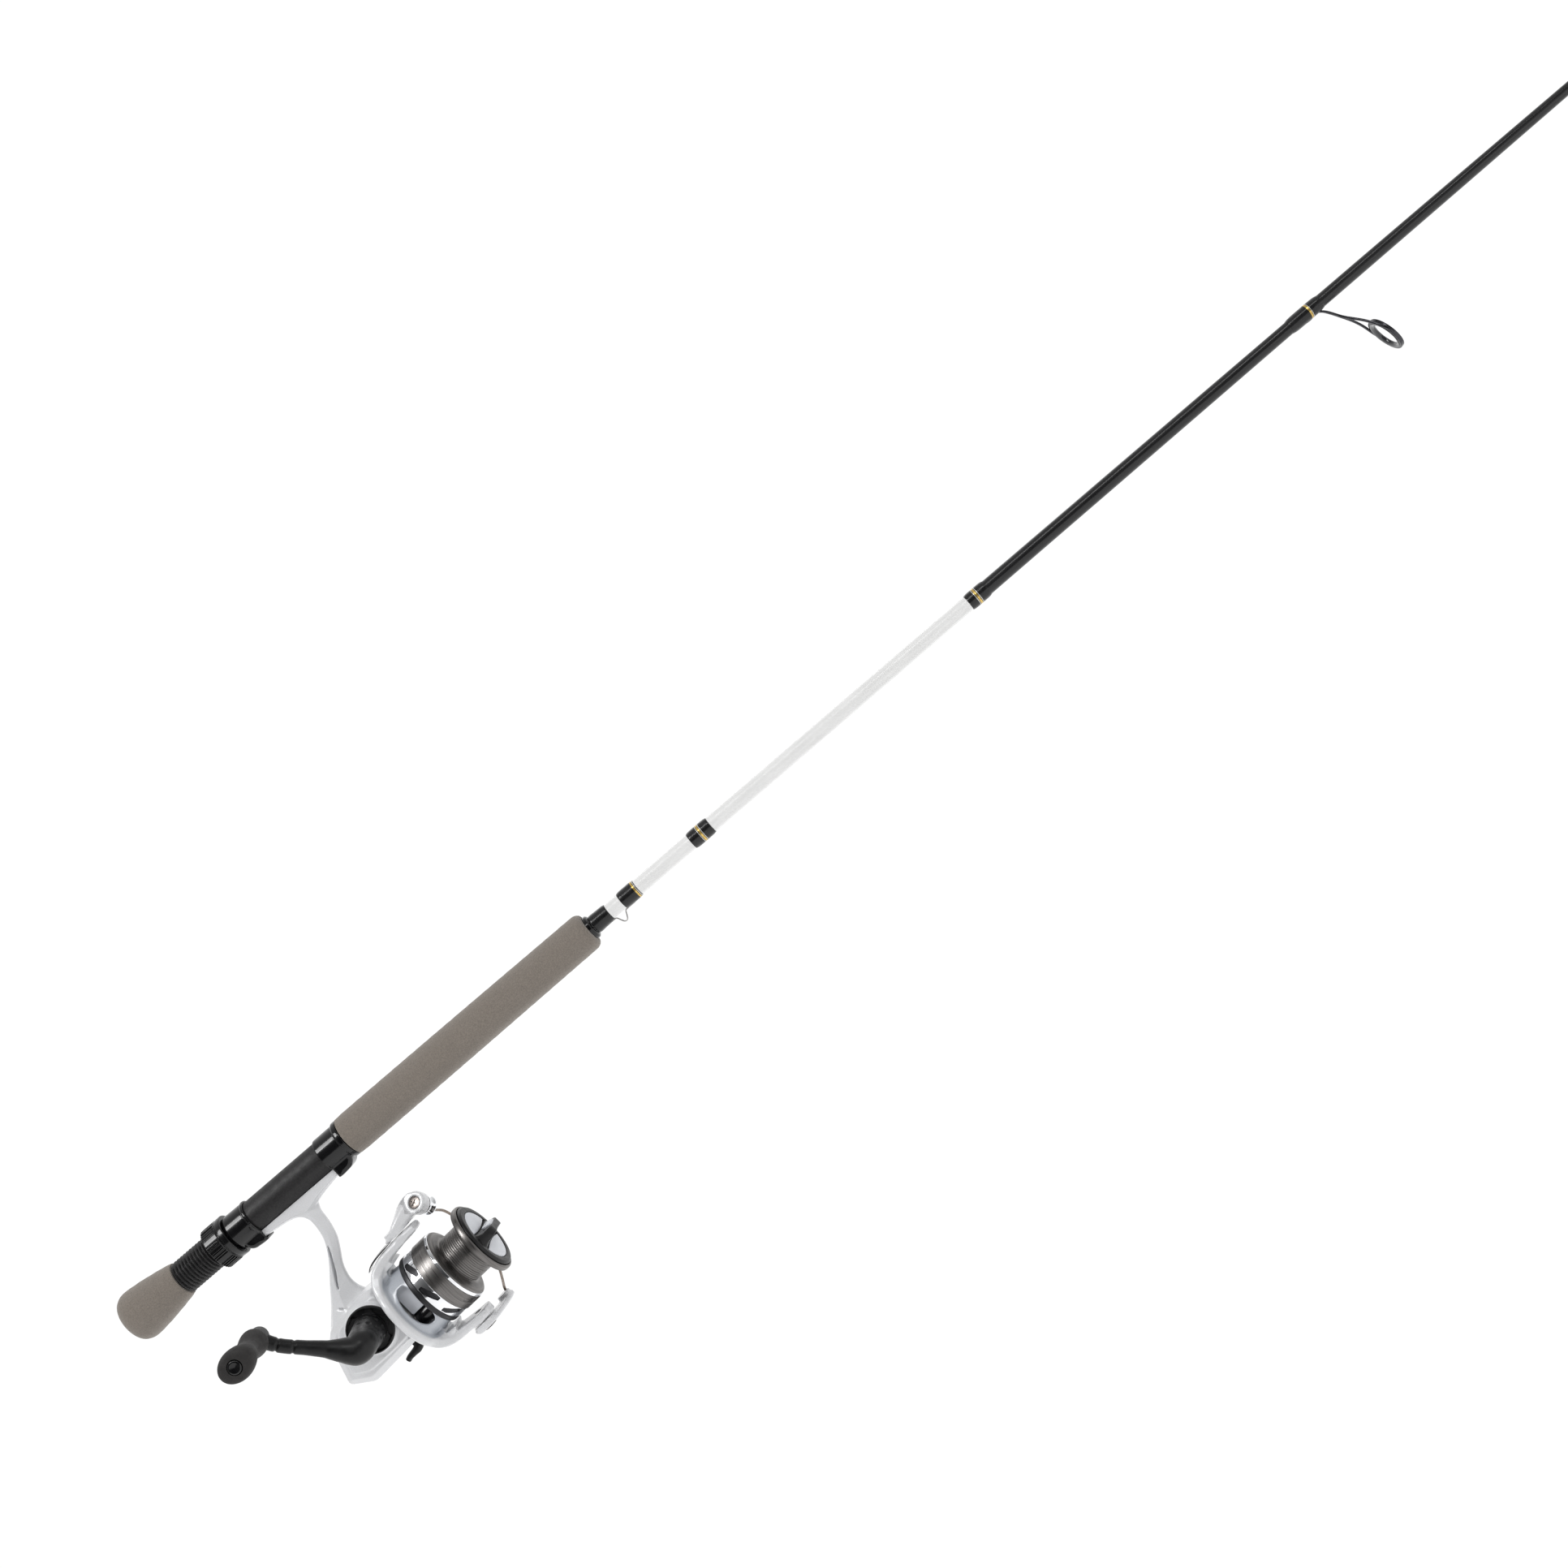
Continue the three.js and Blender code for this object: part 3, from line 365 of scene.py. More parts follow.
# %% Building finishes
class Finish:
    """A material under construction: noise and band patterns in millimetres, wired to one shader."""

    def __init__(self, name, color, rough, metal=0.0, **sockets):
        self.material = bpy.data.materials.new(name)
        self.material.use_nodes = True
        self.nodes = self.material.node_tree.nodes
        self.links = self.material.node_tree.links
        self.shader = self.nodes["Principled BSDF"]
        self.shader.inputs["Base Color"].default_value = (*color, 1)
        self.shader.inputs["Roughness"].default_value = rough
        self.shader.inputs["Metallic"].default_value = metal
        for socket, value in sockets.items():
            self.shader.inputs[socket.replace("_", " ")].default_value = value
        self.place = self.nodes.new("ShaderNodeTexCoord")
        self.color = color
        self.bump = None

    def noise(self, size_mm, detail=2.0, rough=0.5, stretch=(1, 1, 1)):
        mapping = self.nodes.new("ShaderNodeMapping")
        mapping.inputs["Scale"].default_value = stretch
        self.links.new(self.place.outputs["Object"], mapping.inputs["Vector"])
        node = self.nodes.new("ShaderNodeTexNoise")
        node.inputs["Scale"].default_value = 1000.0 / size_mm
        node.inputs["Detail"].default_value = detail
        node.inputs["Roughness"].default_value = rough
        self.links.new(mapping.outputs["Vector"], node.inputs["Vector"])
        return node.outputs["Fac"]

    def ramp(self, value, *stops):
        node = self.nodes.new("ShaderNodeValToRGB")
        elements = node.color_ramp.elements
        while len(elements) < len(stops):
            elements.new(0.5)
        for element, (at, color) in zip(elements, stops):
            element.position = at
            element.color = (*color, 1)
        self.links.new(value, node.inputs["Fac"])
        return node.outputs["Color"]

    def spread(self, value, low, high, floor=0.3, ceiling=0.7):
        node = self.nodes.new("ShaderNodeMapRange")
        node.inputs["From Min"].default_value = floor
        node.inputs["From Max"].default_value = ceiling
        node.inputs["To Min"].default_value = low
        node.inputs["To Max"].default_value = high
        self.links.new(value, node.inputs["Value"])
        return node.outputs["Result"]

    def mottle(self, size_mm, low, high, detail=3.0, stretch=(1, 1, 1)):
        """Base colour runs from the colour times low to the colour times high."""
        dark = tuple(min(1, c * low) for c in self.color)
        light = tuple(min(1, c * high) for c in self.color)
        value = self.noise(size_mm, detail, stretch=stretch)
        self.links.new(self.ramp(value, (0.3, dark), (0.7, light)), self.shader.inputs["Base Color"])
        return self

    def sheen_marks(self, size_mm, low, high, stretch=(1, 1, 1)):
        value = self.noise(size_mm, 4.0, 0.6, stretch)
        self.links.new(self.spread(value, low, high), self.shader.inputs["Roughness"])
        return self

    def relief(self, value, depth_mm):
        node = self.nodes.new("ShaderNodeBump")
        node.inputs["Strength"].default_value = 1.0
        node.inputs["Distance"].default_value = depth_mm * MM
        self.links.new(value, node.inputs["Height"])
        if self.bump is not None:
            self.links.new(self.bump, node.inputs["Normal"])
        self.bump = node.outputs["Normal"]
        self.links.new(self.bump, self.shader.inputs["Normal"])
        return self

    def along(self, axis):
        split = self.nodes.new("ShaderNodeSeparateXYZ")
        self.links.new(self.place.outputs["Object"], split.inputs["Vector"])
        return split.outputs[axis]

    def ridges(self, period_mm):
        """Bands across X; a wave node repeats every 2 pi / 20 of its scaled length."""
        node = self.nodes.new("ShaderNodeTexWave")
        node.wave_type = "BANDS"
        node.bands_direction = "X"
        node.wave_profile = "SIN"
        node.inputs["Scale"].default_value = 1000.0 / period_mm / 3.183
        self.links.new(self.place.outputs["Object"], node.inputs["Vector"])
        return node.outputs["Fac"]


print("finish builder ready")

# %% [markdown]
# **Foam grip.** EVA foam is ground round on a lathe, which leaves a fine open-celled nap: warm taupe,
# quite matt, with each cell catching a speck of light. Two noises, one of half a millimetre and one of
# nine, give the grain and the slow unevenness of handled foam.

# %% Foam, satin and gloss finishes
foam = Finish("ground_foam", (0.192, 0.165, 0.139), 0.92, Sheen_Weight=0.25, Sheen_Roughness=0.6)
foam.mottle(0.75, 0.84, 1.17, 3.0).sheen_marks(18, 0.86, 0.97)
foam.relief(foam.noise(0.55, 3.0, 0.7), 0.22).relief(foam.noise(9, 2.0), 0.2)

seat_satin = Finish("seat_satin", (0.009, 0.0085, 0.009), 0.42, Specular_IOR_Level=0.4)
seat_satin.mottle(0.9, 0.55, 1.9, 4.0).sheen_marks(4, 0.42, 0.6)
seat_satin.relief(seat_satin.noise(0.5, 3.0), 0.05)

black_gloss = Finish("black_gloss", (0.003, 0.003, 0.0035), 0.16, Specular_IOR_Level=0.35, Coat_Weight=0.2,
                     Coat_Roughness=0.06)
black_gloss.mottle(12, 0.8, 1.4).sheen_marks(8, 0.11, 0.24)
black_gloss.relief(black_gloss.noise(3.5, 2.0), 0.03)

satin_black = Finish("satin_black_metal", (0.006, 0.006, 0.0063), 0.34, Specular_IOR_Level=0.32)
satin_black.mottle(5, 0.75, 1.45).sheen_marks(3, 0.3, 0.46)
satin_black.relief(satin_black.noise(0.8, 3.0), 0.03)

soft_grip = Finish("soft_grip", (0.019, 0.0175, 0.017), 0.62, Specular_IOR_Level=0.4)
soft_grip.mottle(3, 0.8, 1.3).sheen_marks(7, 0.58, 0.76)
soft_grip.relief(soft_grip.noise(0.35, 2.0), 0.04)
print("dark finishes made")

# %% [markdown]
# **Blank.** The butt half is painted pearl white under clear varnish. Past the long wrap the graphite is
# left dark, with the faint slanting marks of its tape-wound fibres. Distance along the rod switches
# between the two, so one tapered tube carries both.

# %% Blank, thread and gold
transition = (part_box("transition_wrap")[0].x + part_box("transition_wrap")[1].x) / 2
blank_paint = Finish("blank_varnish", (0.8, 0.8, 0.79), 0.28, Specular_IOR_Level=0.3, Coat_Weight=0.25,
                     Coat_Roughness=0.08)
pearl = blank_paint.ramp(blank_paint.noise(2.5, 2.0, stretch=(0.15, 1, 1)),
                         (0.3, (0.76, 0.76, 0.755)), (0.7, (0.81, 0.81, 0.805)))
fibre = blank_paint.ramp(blank_paint.noise(0.6, 4.0, 0.7, stretch=(0.05, 1, 1)),
                         (0.3, (0.005, 0.005, 0.0055)), (0.72, (0.016, 0.016, 0.017)))
past = blank_paint.nodes.new("ShaderNodeMath")
past.operation = "GREATER_THAN"
past.inputs[1].default_value = transition
blank_paint.links.new(blank_paint.along("X"), past.inputs[0])
which = blank_paint.nodes.new("ShaderNodeMix")
which.data_type = "RGBA"
blank_paint.links.new(past.outputs[0], which.inputs["Factor"])
blank_paint.links.new(pearl, which.inputs["A"])
blank_paint.links.new(fibre, which.inputs["B"])
blank_paint.links.new(which.outputs["Result"], blank_paint.shader.inputs["Base Color"])
blank_paint.sheen_marks(6, 0.24, 0.4, stretch=(0.1, 1, 1))
blank_paint.relief(blank_paint.noise(2.5, 2.0, stretch=(0.1, 1, 1)), 0.006)

thread = Finish("epoxied_thread", (0.006, 0.006, 0.0065), 0.3, Specular_IOR_Level=0.25, Coat_Weight=0.35,
                Coat_Roughness=0.04)
thread.mottle(1.5, 0.7, 1.6).sheen_marks(5, 0.22, 0.36)
thread.relief(thread.ridges(0.28), 0.035)

gold_thread = Finish("gold_thread", (0.62, 0.42, 0.10), 0.3, 0.85, Coat_Weight=0.8, Coat_Roughness=0.05)
gold_thread.mottle(0.8, 0.6, 1.3).sheen_marks(2, 0.2, 0.4)
gold_thread.relief(gold_thread.ridges(0.28), 0.05)
print(f"blank turns dark at x = {transition * 1000:.0f} mm")

# %% [markdown]
# ** Reel paint and metal.** The body, rotor and bail are die-cast and sprayed pearl white, with a fine
# flake under lacquer. The spool is turned aluminium, anodised gunmetal, so its tool marks run round
# it: noise squeezed along the spool's axis gives rings. Chrome has only faint polishing marks. Inside
# the rotor's cup, close round the spool's axis, painted shade turns the paint softly to a darker, bluer grey.

# %% Paint and metal finishes
pearl_paint = Finish("pearl_paint", (0.68, 0.685, 0.70), 0.34, Coat_Weight=0.7, Coat_Roughness=0.12)
pearl_paint.mottle(0.35, 0.93, 1.07, 2.0).sheen_marks(9, 0.28, 0.42)
pearl_paint.relief(pearl_paint.noise(0.9, 2.0), 0.012)

# The rotor's pearl paint, with painted shade inside its cup.
rotor_paint_with_shade = Finish("rotor_pearl_paint_and_painted_shade", (0.68, 0.685, 0.70), 0.34, Coat_Weight=0.7, Coat_Roughness=0.12)
rotor_paint_with_shade.sheen_marks(9, 0.28, 0.42).relief(rotor_paint_with_shade.noise(0.9, 2.0), 0.012)


def vector_step(finish, operation, first, second=None):
    node = finish.nodes.new("ShaderNodeVectorMath")
    node.operation = operation
    finish.links.new(first, node.inputs[0])
    if isinstance(second, Vector):
        node.inputs[1].default_value = second
    elif second is not None:
        finish.links.new(second, node.inputs[1])
    return node.outputs["Value" if operation in ("DOT_PRODUCT", "LENGTH") else "Vector"]


def round_the_spool(finish, ahead, radius, soft=1.0):
    """1 within `radius` of the spool's axis and ahead of a plane across it, falling softly to 0."""
    from_axis = vector_step(finish, "SUBTRACT", finish.place.outputs["Object"], Vector((0, 0, -REEL_DROP * MM)))
    along = vector_step(finish, "DOT_PRODUCT", from_axis, axis_x)
    sideways = vector_step(finish, "SUBTRACT", from_axis, vector_step(finish, "PROJECT", from_axis, axis_x))
    far = vector_step(finish, "LENGTH", sideways)
    both = finish.nodes.new("ShaderNodeMath")
    both.operation = "MULTIPLY"
    finish.links.new(finish.spread(far, 1, 0, radius * MM, (radius + soft) * MM), both.inputs[0])
    finish.links.new(finish.spread(along, 0, 1, ahead * MM, (ahead + soft) * MM), both.inputs[1])
    return both.outputs["Value"]


# Painted shade: inside the cup, ahead of 7.8 mm along the spool's axis and within 24.2 mm of it, the flake
# colour turns from pearl white to a darker, bluer grey.
shade = rotor_paint_with_shade.nodes.new("ShaderNodeMix")
shade.data_type = "RGBA"
flake = rotor_paint_with_shade.noise(0.35, 2.0)
rotor_paint_with_shade.links.new(round_the_spool(rotor_paint_with_shade, 7.8, 24.2), shade.inputs["Factor"])
rotor_paint_with_shade.links.new(rotor_paint_with_shade.ramp(flake, (0.3, (0.63, 0.637, 0.65)), (0.7, (0.73, 0.735, 0.75))),
                      shade.inputs["A"])
rotor_paint_with_shade.links.new(rotor_paint_with_shade.ramp(flake, (0.3, (0.36, 0.385, 0.42)), (0.7, (0.46, 0.485, 0.53))),
                      shade.inputs["B"])
rotor_paint_with_shade.links.new(shade.outputs["Result"], rotor_paint_with_shade.shader.inputs["Base Color"])

gunmetal = Finish("turned_gunmetal", (0.15, 0.143, 0.138), 0.38, 0.95)
gunmetal.mottle(0.5, 0.75, 1.35, 3.0, stretch=(1, 0.03, 0.03)).sheen_marks(0.8, 0.24, 0.44, (1, 0.05, 0.05))
gunmetal.relief(gunmetal.noise(0.35, 2.0, stretch=(1, 0.02, 0.02)), 0.012)

dark_metal = Finish("dark_anodised", (0.035, 0.035, 0.037), 0.36, 0.8)
dark_metal.mottle(0.6, 0.7, 1.4, 3.0, stretch=(1, 0.04, 0.04)).sheen_marks(1, 0.28, 0.46, (1, 0.05, 0.05))
dark_metal.relief(dark_metal.noise(0.4, 2.0), 0.01)

chrome = Finish("chrome", (0.83, 0.84, 0.86), 0.08, 1.0)
chrome.mottle(6, 0.93, 1.04).sheen_marks(3, 0.05, 0.14)
chrome.relief(chrome.noise(1.5, 2.0), 0.006)

steel = Finish("polished_steel", (0.52, 0.51, 0.50), 0.24, 1.0)
steel.mottle(1.2, 0.85, 1.1, stretch=(0.2, 1, 1)).sheen_marks(1, 0.16, 0.34)
steel.relief(steel.noise(0.6, 2.0), 0.008)

wire_steel = Finish("bronzed_wire", (0.20, 0.165, 0.14), 0.28, 1.0)
wire_steel.mottle(2.0, 0.75, 1.3).sheen_marks(1.5, 0.2, 0.38)
wire_steel.relief(wire_steel.noise(0.5, 2.0), 0.008)

guide_metal = Finish("guide_metal", (0.055, 0.055, 0.06), 0.22, 1.0)
guide_metal.mottle(2.0, 0.8, 1.3).sheen_marks(1.5, 0.16, 0.32)
guide_metal.relief(guide_metal.noise(0.5, 2.0), 0.006)

ceramic = Finish("ceramic_ring", (0.02, 0.021, 0.024), 0.08, Coat_Weight=0.5, Coat_Roughness=0.03)
ceramic.mottle(1.5, 0.8, 1.3).sheen_marks(2, 0.05, 0.14)
ceramic.relief(ceramic.noise(1.5, 2.0), 0.004)

brass = Finish("machined_brass", (0.62, 0.45, 0.20), 0.3, 1.0)
brass.mottle(1.5, 0.85, 1.12).sheen_marks(1.0, 0.2, 0.42)
brass.relief(brass.noise(0.5, 2.0), 0.01)

pale_silver_and_highlight = Finish("silver_inlay_and_painted_highlight", (0.60, 0.62, 0.66), 0.42, 0.15, Coat_Weight=0.3, Coat_Roughness=0.2)
pale_silver_and_highlight.mottle(0.4, 0.96, 1.04).sheen_marks(6, 0.36, 0.5)
pale_silver_and_highlight.relief(pale_silver_and_highlight.noise(0.8, 2.0), 0.003)

felt = Finish("washer_felt", (0.05, 0.045, 0.04), 0.9, Sheen_Weight=0.2)
felt.mottle(0.8, 0.7, 1.3).sheen_marks(3, 0.82, 0.96)
felt.relief(felt.noise(0.4, 3.0), 0.06)
print("paint, anodising, chrome and steel made")

# %% [markdown]
# **Butt cap and fore grip.** Both are foam turned on a mandrel. The butt swells to a pear that sits in
# the palm or against the belt; the fore grip is a long, barely tapered sleeve with soft ends. A smooth
# curve through a few measured radii gives the sweep of each, and a slow wave keeps it from being too true.

# %% Foam grips
def hand_ground(x, a, r):
    return 0.06 * np.sin(x * 0.9 + 2 * a) * np.sin(x * 0.23)


butt_curve = resampled([(-117.4, 9.8), (-116.9, 11.6), (-115.3, 13.5), (-112.6, 14.8), (-109.4, 15.1),
                        (-105.4, 14.8),
                        (-98.4, 14), (-89, 12.5), (-82, 11.2), (-79.6, 10.5)], 70)
butt_profile = [(-118.0, 0), (-117.9, 6), *butt_curve, (-79.15, 10.2), (-79.15, 0)]
butt = piece("butt_foam", spun(butt_profile, 96, hand_ground), 50)
settle(butt, "rod", "eva_foam", foam, "butt_cap")

grip_curve = resampled([(44.6, 10.9), (45, 11.5), (46.4, 11.85), (60, 12.0), (130, 11.8), (200, 11.4),
                        (218, 11.3), (221, 10.9), (222.8, 9.7), (223.3, 8.4)], 160)
grip_profile = [(44.6, 4.9), *grip_curve, (223.3, 4.9)]
grip = piece("fore_grip_foam", spun(grip_profile, 96, hand_ground), 50)
settle(grip, "rod", "eva_foam", foam, "fore_grip")
print("grip radius", round(grip_curve[:, 1].max(), 2), "mm")

# %% [markdown]
# **Seat tube.** A moulded barrel, threaded at the butt end for the nut. The thread is a true helix: the
# crest's place moves by one pitch for each turn, r = root + h |cos|^1.2. The plain part keeps a faint
# mould seam along its side.

# %% Seat tube with its thread
PITCH, CREST, ROOT = 2.2, 9.95, 8.75


def thread_wave(x, a, r):
    turn_phase = (x / PITCH - a / (2 * math.pi)) * math.pi
    crest = (CREST - ROOT) * np.abs(np.cos(turn_phase)) ** 1.2
    fade = np.clip((-53.4 - x) / 0.8, 0, 1) * np.clip((x + 79) / 0.8, 0, 1)
    inside = (r < 9.4) & (r > 8.5) & (x < -53)
    seam = -0.10 * np.exp(-(((a - math.pi - 0.06) * 9.7) / 0.25) ** 2) * (x > -52) * (r > 9)
    return crest * fade * inside + seam


barrel = np.concatenate([np.stack([np.arange(-79.1, -53.2, 0.2), np.full(130, ROOT)], 1),
                         eased([(-53.2, ROOT), (-52.6, 9.7), (44.3, 9.7), (44.3, 8.1)], 0.4)])
seat = piece("reel_seat_barrel", spun([(-79.1, 8.1), *barrel], 256, thread_wave), 60)
settle(seat, "rod", "seat_satin", seat_satin, "seat_tube")
print("thread of", round((79 - 53.4) / PITCH, 1), "turns")

# %% [markdown]
# **Lock nut.** Glossy moulding with finger ribs in groups and a smooth collar toward the hood. The rib
# height is a rounded square wave round the axis, and it fades out before each end of the ribbed band.

# %% Lock nut
def nut_ribs(x, a, r):
    teeth = np.clip(1.6 * np.cos(44 * a), -1, 1)
    gap = np.clip(3.2 * np.cos(6 * a) + 2.6, 0, 1)
    band = np.clip((x + 53.8) / 0.5, 0, 1) * np.clip((-44.6 - x) / 0.6, 0, 1)
    return 0.42 * teeth * gap * band * (r > 12)


nut_profile = [(-54.2, 10.0), *eased([(-54.2, 11.0), (-53.9, 11.9), (-53.5, 12.5)], 0.2),
               *np.stack([np.arange(-53.2, -44.6, 0.3), np.full(29, 12.7)], 1),
               *eased([(-44.5, 12.6), (-44.1, 12.1), (-43.6, 12.1), (-43.3, 12.9), (-40.4, 12.9), (-40.1, 12.3),
                       (-40.1, 10.0)], 0.35)]
nut = piece("seat_lock_nut", spun(nut_profile, 384, nut_ribs), 40)
settle(nut, "lock_nut", "black_gloss", black_gloss, "lock_nut")
print("nut with 44 rib positions in 6 groups")

# %% [markdown]
# **Hoods.** Each hood is a moulded ring with a boxy belly that the reel's foot slides into. The belly is
# one side outline, deepest at its mouth, given thickness and soft edges. Ring and belly flow together
# once cast; the bore and the foot's pocket are then cut away.

# %% Sliding and fixed hoods
HOOD_BORE = 9.82
BELLY = np.array([(0, -5), (0, -14.4), (-3, -14.5), (-9.6, -13.9), (-12.6, -11.2), (-13.6, -5)])


def belly(mouth, way):
    """The belly's side outline, measured back from the mouth, given a boxy thickness."""
    outline = BELLY * (way, 1) + (mouth, 0)
    return slab(eased(outline, [0, 0.8, 0, 3, 3, 0], 5, closed=True), -7.5, 7.5, 2.2)


def bore_cut(low, high, r):
    return spun([(low, 0), (low, r), (high, r), (high, 0)], 96)


def box_shell(x0, x1, y0, y1, z0, z1):
    return slab([(x0, z0), (x1, z0), (x1, z1), (x0, z1)], y0, y1, 0.3, steps=2)


slide_ring = spun([(-39.8, 9), *eased([(-39.8, 10.5), (-38.9, 10.9), (-27.3, 10.7), (-27.1, 10.45),
                                       (-26.8, 10.45),
                                       (-26.6, 11.1), (-25.2, 11.1), (-25.1, 10.6)], 0.25), (-25.1, 9)], 96)
slide = cast("sliding_hood_shell", [slide_ring, belly(-25.1, 1)],
             [bore_cut(-45, -20, HOOD_BORE), box_shell(-32.4, -20, -6.1, 6.1, -13.1, -5)], 0.3, 3)
settle(slide, "sliding_hood", "black_gloss", black_gloss, "sliding_hood")

fixed_ring = spun([(27.4, 9), *eased([(27.4, 10.6), (27.7, 10.75), (40.5, 10.8), (40.9, 10.6), (41.3, 11.2),
                                      (41.6, 11.7),
                                      (43.9, 11.7), (44.4, 11.4)], 0.3), (44.4, 9)], 96)
fixed = cast("fixed_hood_shell", [fixed_ring, belly(27.4, -1)],
             [bore_cut(20, 50, HOOD_BORE), box_shell(20, 33.2, -6.1, 6.1, -13.1, -5)], 0.3, 3)
settle(fixed, "rod", "black_gloss", black_gloss, "fixed_hood")
print("hoods cast:", len(slide.data.vertices), len(fixed.data.vertices), "points")

# %% [markdown]
# **Blank.** Graphite cloth rolled on a tapered mandrel. Its outer radius falls from 5 mm at the butt to
# 0.8 mm at the tip, read from measured stations with straight tapers between.

# %% The blank and the winding check
BLANK = np.array([(-116, 5), (230, 4.7), (360, 4.65), (446, 4.55), (517, 4.3), (623, 4.05), (711, 3.8),
                  (776, 3.65),
                  (841, 3.45), (919, 3.1), (1200, 2.2), (1450, 1.45), (1700, 0.8)])


def blank_radius(x):
    return np.interp(x, BLANK[:, 0], BLANK[:, 1])


stations = np.linspace(-116, 1700, 240)
tube = piece("tapered_blank", spun([(-116, 0), *np.stack([stations, blank_radius(stations)], 1), (1700, 0)],
                                   48), 40)
settle(tube, "rod", "blank_paint", blank_paint, "rod_blank")
check = piece("winding_check_ring", spun([(223.4, 4.75), *eased([(223.4, 7.2), (225.1, 7.2), (226, 6.2)], 0.3),
                                          (226, 4.75)], 64), 45)
settle(check, "rod", "black_gloss", black_gloss, "winding_check")
print("blank from", 2 * BLANK[0, 1], "to", 2 * BLANK[-1, 1], "mm across")

# %% [markdown]
# **Thread wraps.** Each guide and trim band is black thread laid side by side and levelled with epoxy,
# so it swells gently and feathers out at both ends: extra radius = thick * (1 - |2t - 1|^6). Gold
# thread is let in as a narrow band that stands a hair proud, between two fine pale lines.

# %% Thread wraps and their gold bands
def wrap_profile(x0, x1, thick, flare=0.0):
    t = np.linspace(0, 1, 34)
    x = x0 + (x1 - x0) * t
    swell = thick * (1 - np.abs(2 * t - 1) ** 6) + 0.10
    return np.stack([x, blank_radius(x) + swell + flare * (1 - t) ** 3], 1)


def wrap_piece(name, node, x0, x1, thick=0.5, flare=0.0):
    curve = wrap_profile(x0, x1, thick, flare)
    inner = [(x1, blank_radius(x1) - 0.15), (x0, blank_radius(x0) - 0.15)]
    wound = piece(name, spun([*curve, *inner], 64), 40)
    return settle(wound, "rod", "thread_epoxy", thread, node)


def band_piece(name, x, wide, proud, finish, slot):
    r = blank_radius(x) + proud
    ring = spun([(x - wide / 2, r - 0.4), *eased([(x - wide / 2, r), (x + wide / 2, r)], 0.1),
                 (x + wide / 2, r - 0.4)], 64)
    return settle(piece(name, ring, 50), "rod", slot, finish)


pale_thread = Finish("pale_thread", (0.72, 0.71, 0.66), 0.3, 0.3, Coat_Weight=0.8, Coat_Roughness=0.05)
pale_thread.mottle(0.8, 0.8, 1.1).sheen_marks(2, 0.22, 0.4)
pale_thread.relief(pale_thread.ridges(0.28), 0.04)

wrap_piece("keeper_rear_thread", "keeper_wrap_rear", 226.2, 237.7, 0.6, 0.5)
wrap_piece("keeper_front_thread", "keeper_wrap_front", 246.6, 258.5)
wrap_piece("trim_thread", "trim_wrap", 297.6, 311.9)
wrap_piece("transition_thread", "transition_wrap", 498.6, 511.9)
band_piece("keeper_gold", 256.9, 1.1, 0.56, gold_thread, "thread_epoxy")
band_piece("keeper_pale", 257.9, 0.4, 0.38, pale_thread, "thread_epoxy")
for where, name in ((305.0, "trim"), (504.6, "transition")):
    band_piece(name + "_gold", where, 1.2, 0.66, gold_thread, "thread_epoxy")
    band_piece(name + "_pale_rear", where - 1.05, 0.3, 0.64, pale_thread, "thread_epoxy")
    band_piece(name + "_pale_front", where + 1.05, 0.3, 0.64, pale_thread, "thread_epoxy")
print("four wraps and their bands")

# %% [markdown]
# **Hook keeper.** A bent wire D whose feet are whipped down under the two wraps. Wire of one thickness
# carried along a curve is just what it is.

# %% Hook keeper
keeper_line = [(231, 0, -5.0), (237.2, 0, -5.1), (238.6, 0, -5.6), (239.6, 0, -7.6), (240.6, 0, -9.3),
               (241.8, 0, -9.9),
               (243, 0, -9.3), (244, 0, -7.6), (245, 0, -5.6), (246.4, 0, -5.1), (252, 0, -5.0)]
keeper = piece("hook_keeper_wire", swept(keeper_line, 0.42, 0.42, 14, 90), 60)
settle(keeper, "rod", "steel", steel, "hook_keeper")
print("keeper stands", round(9.9 + 0.4 - 4.7, 1), "mm off the blank")

# %% [markdown]
# **Guides.** A single-foot guide is one bent wire frame: a flat foot under the thread, two legs that run
# together and then part to the sides of a ring, and a polished ceramic hoop pressed into the ring. The
# rings shrink toward the tip, where the line runs straighter. Ring and hoop are profiles turned about
# the ring's own axis, which leans toward the tip.

# %% Line guides
GUIDES = ((745, 765.5, 36.8, 11.2, 7.3, 0.75, 22), (1004, 1020, 22, 7.6, 4.8, 0.65, 20),
          (1222, 1235, 16, 6, 3.4, 0.55, 18), (1404, 1415, 12.5, 5, 2.6, 0.5, 17),
          (1558, 1568, 10.5, 4.5, 2.2, 0.45, 16))
LEAN = math.radians(11)


def leaning(shell, x, drop):
    p, faces = shell
    c, s = math.cos(LEAN), math.sin(LEAN)
    return np.stack([x + p[:, 0] * c - p[:, 2] * s, p[:, 1], -drop + p[:, 0] * s + p[:, 2] * c], -1), faces


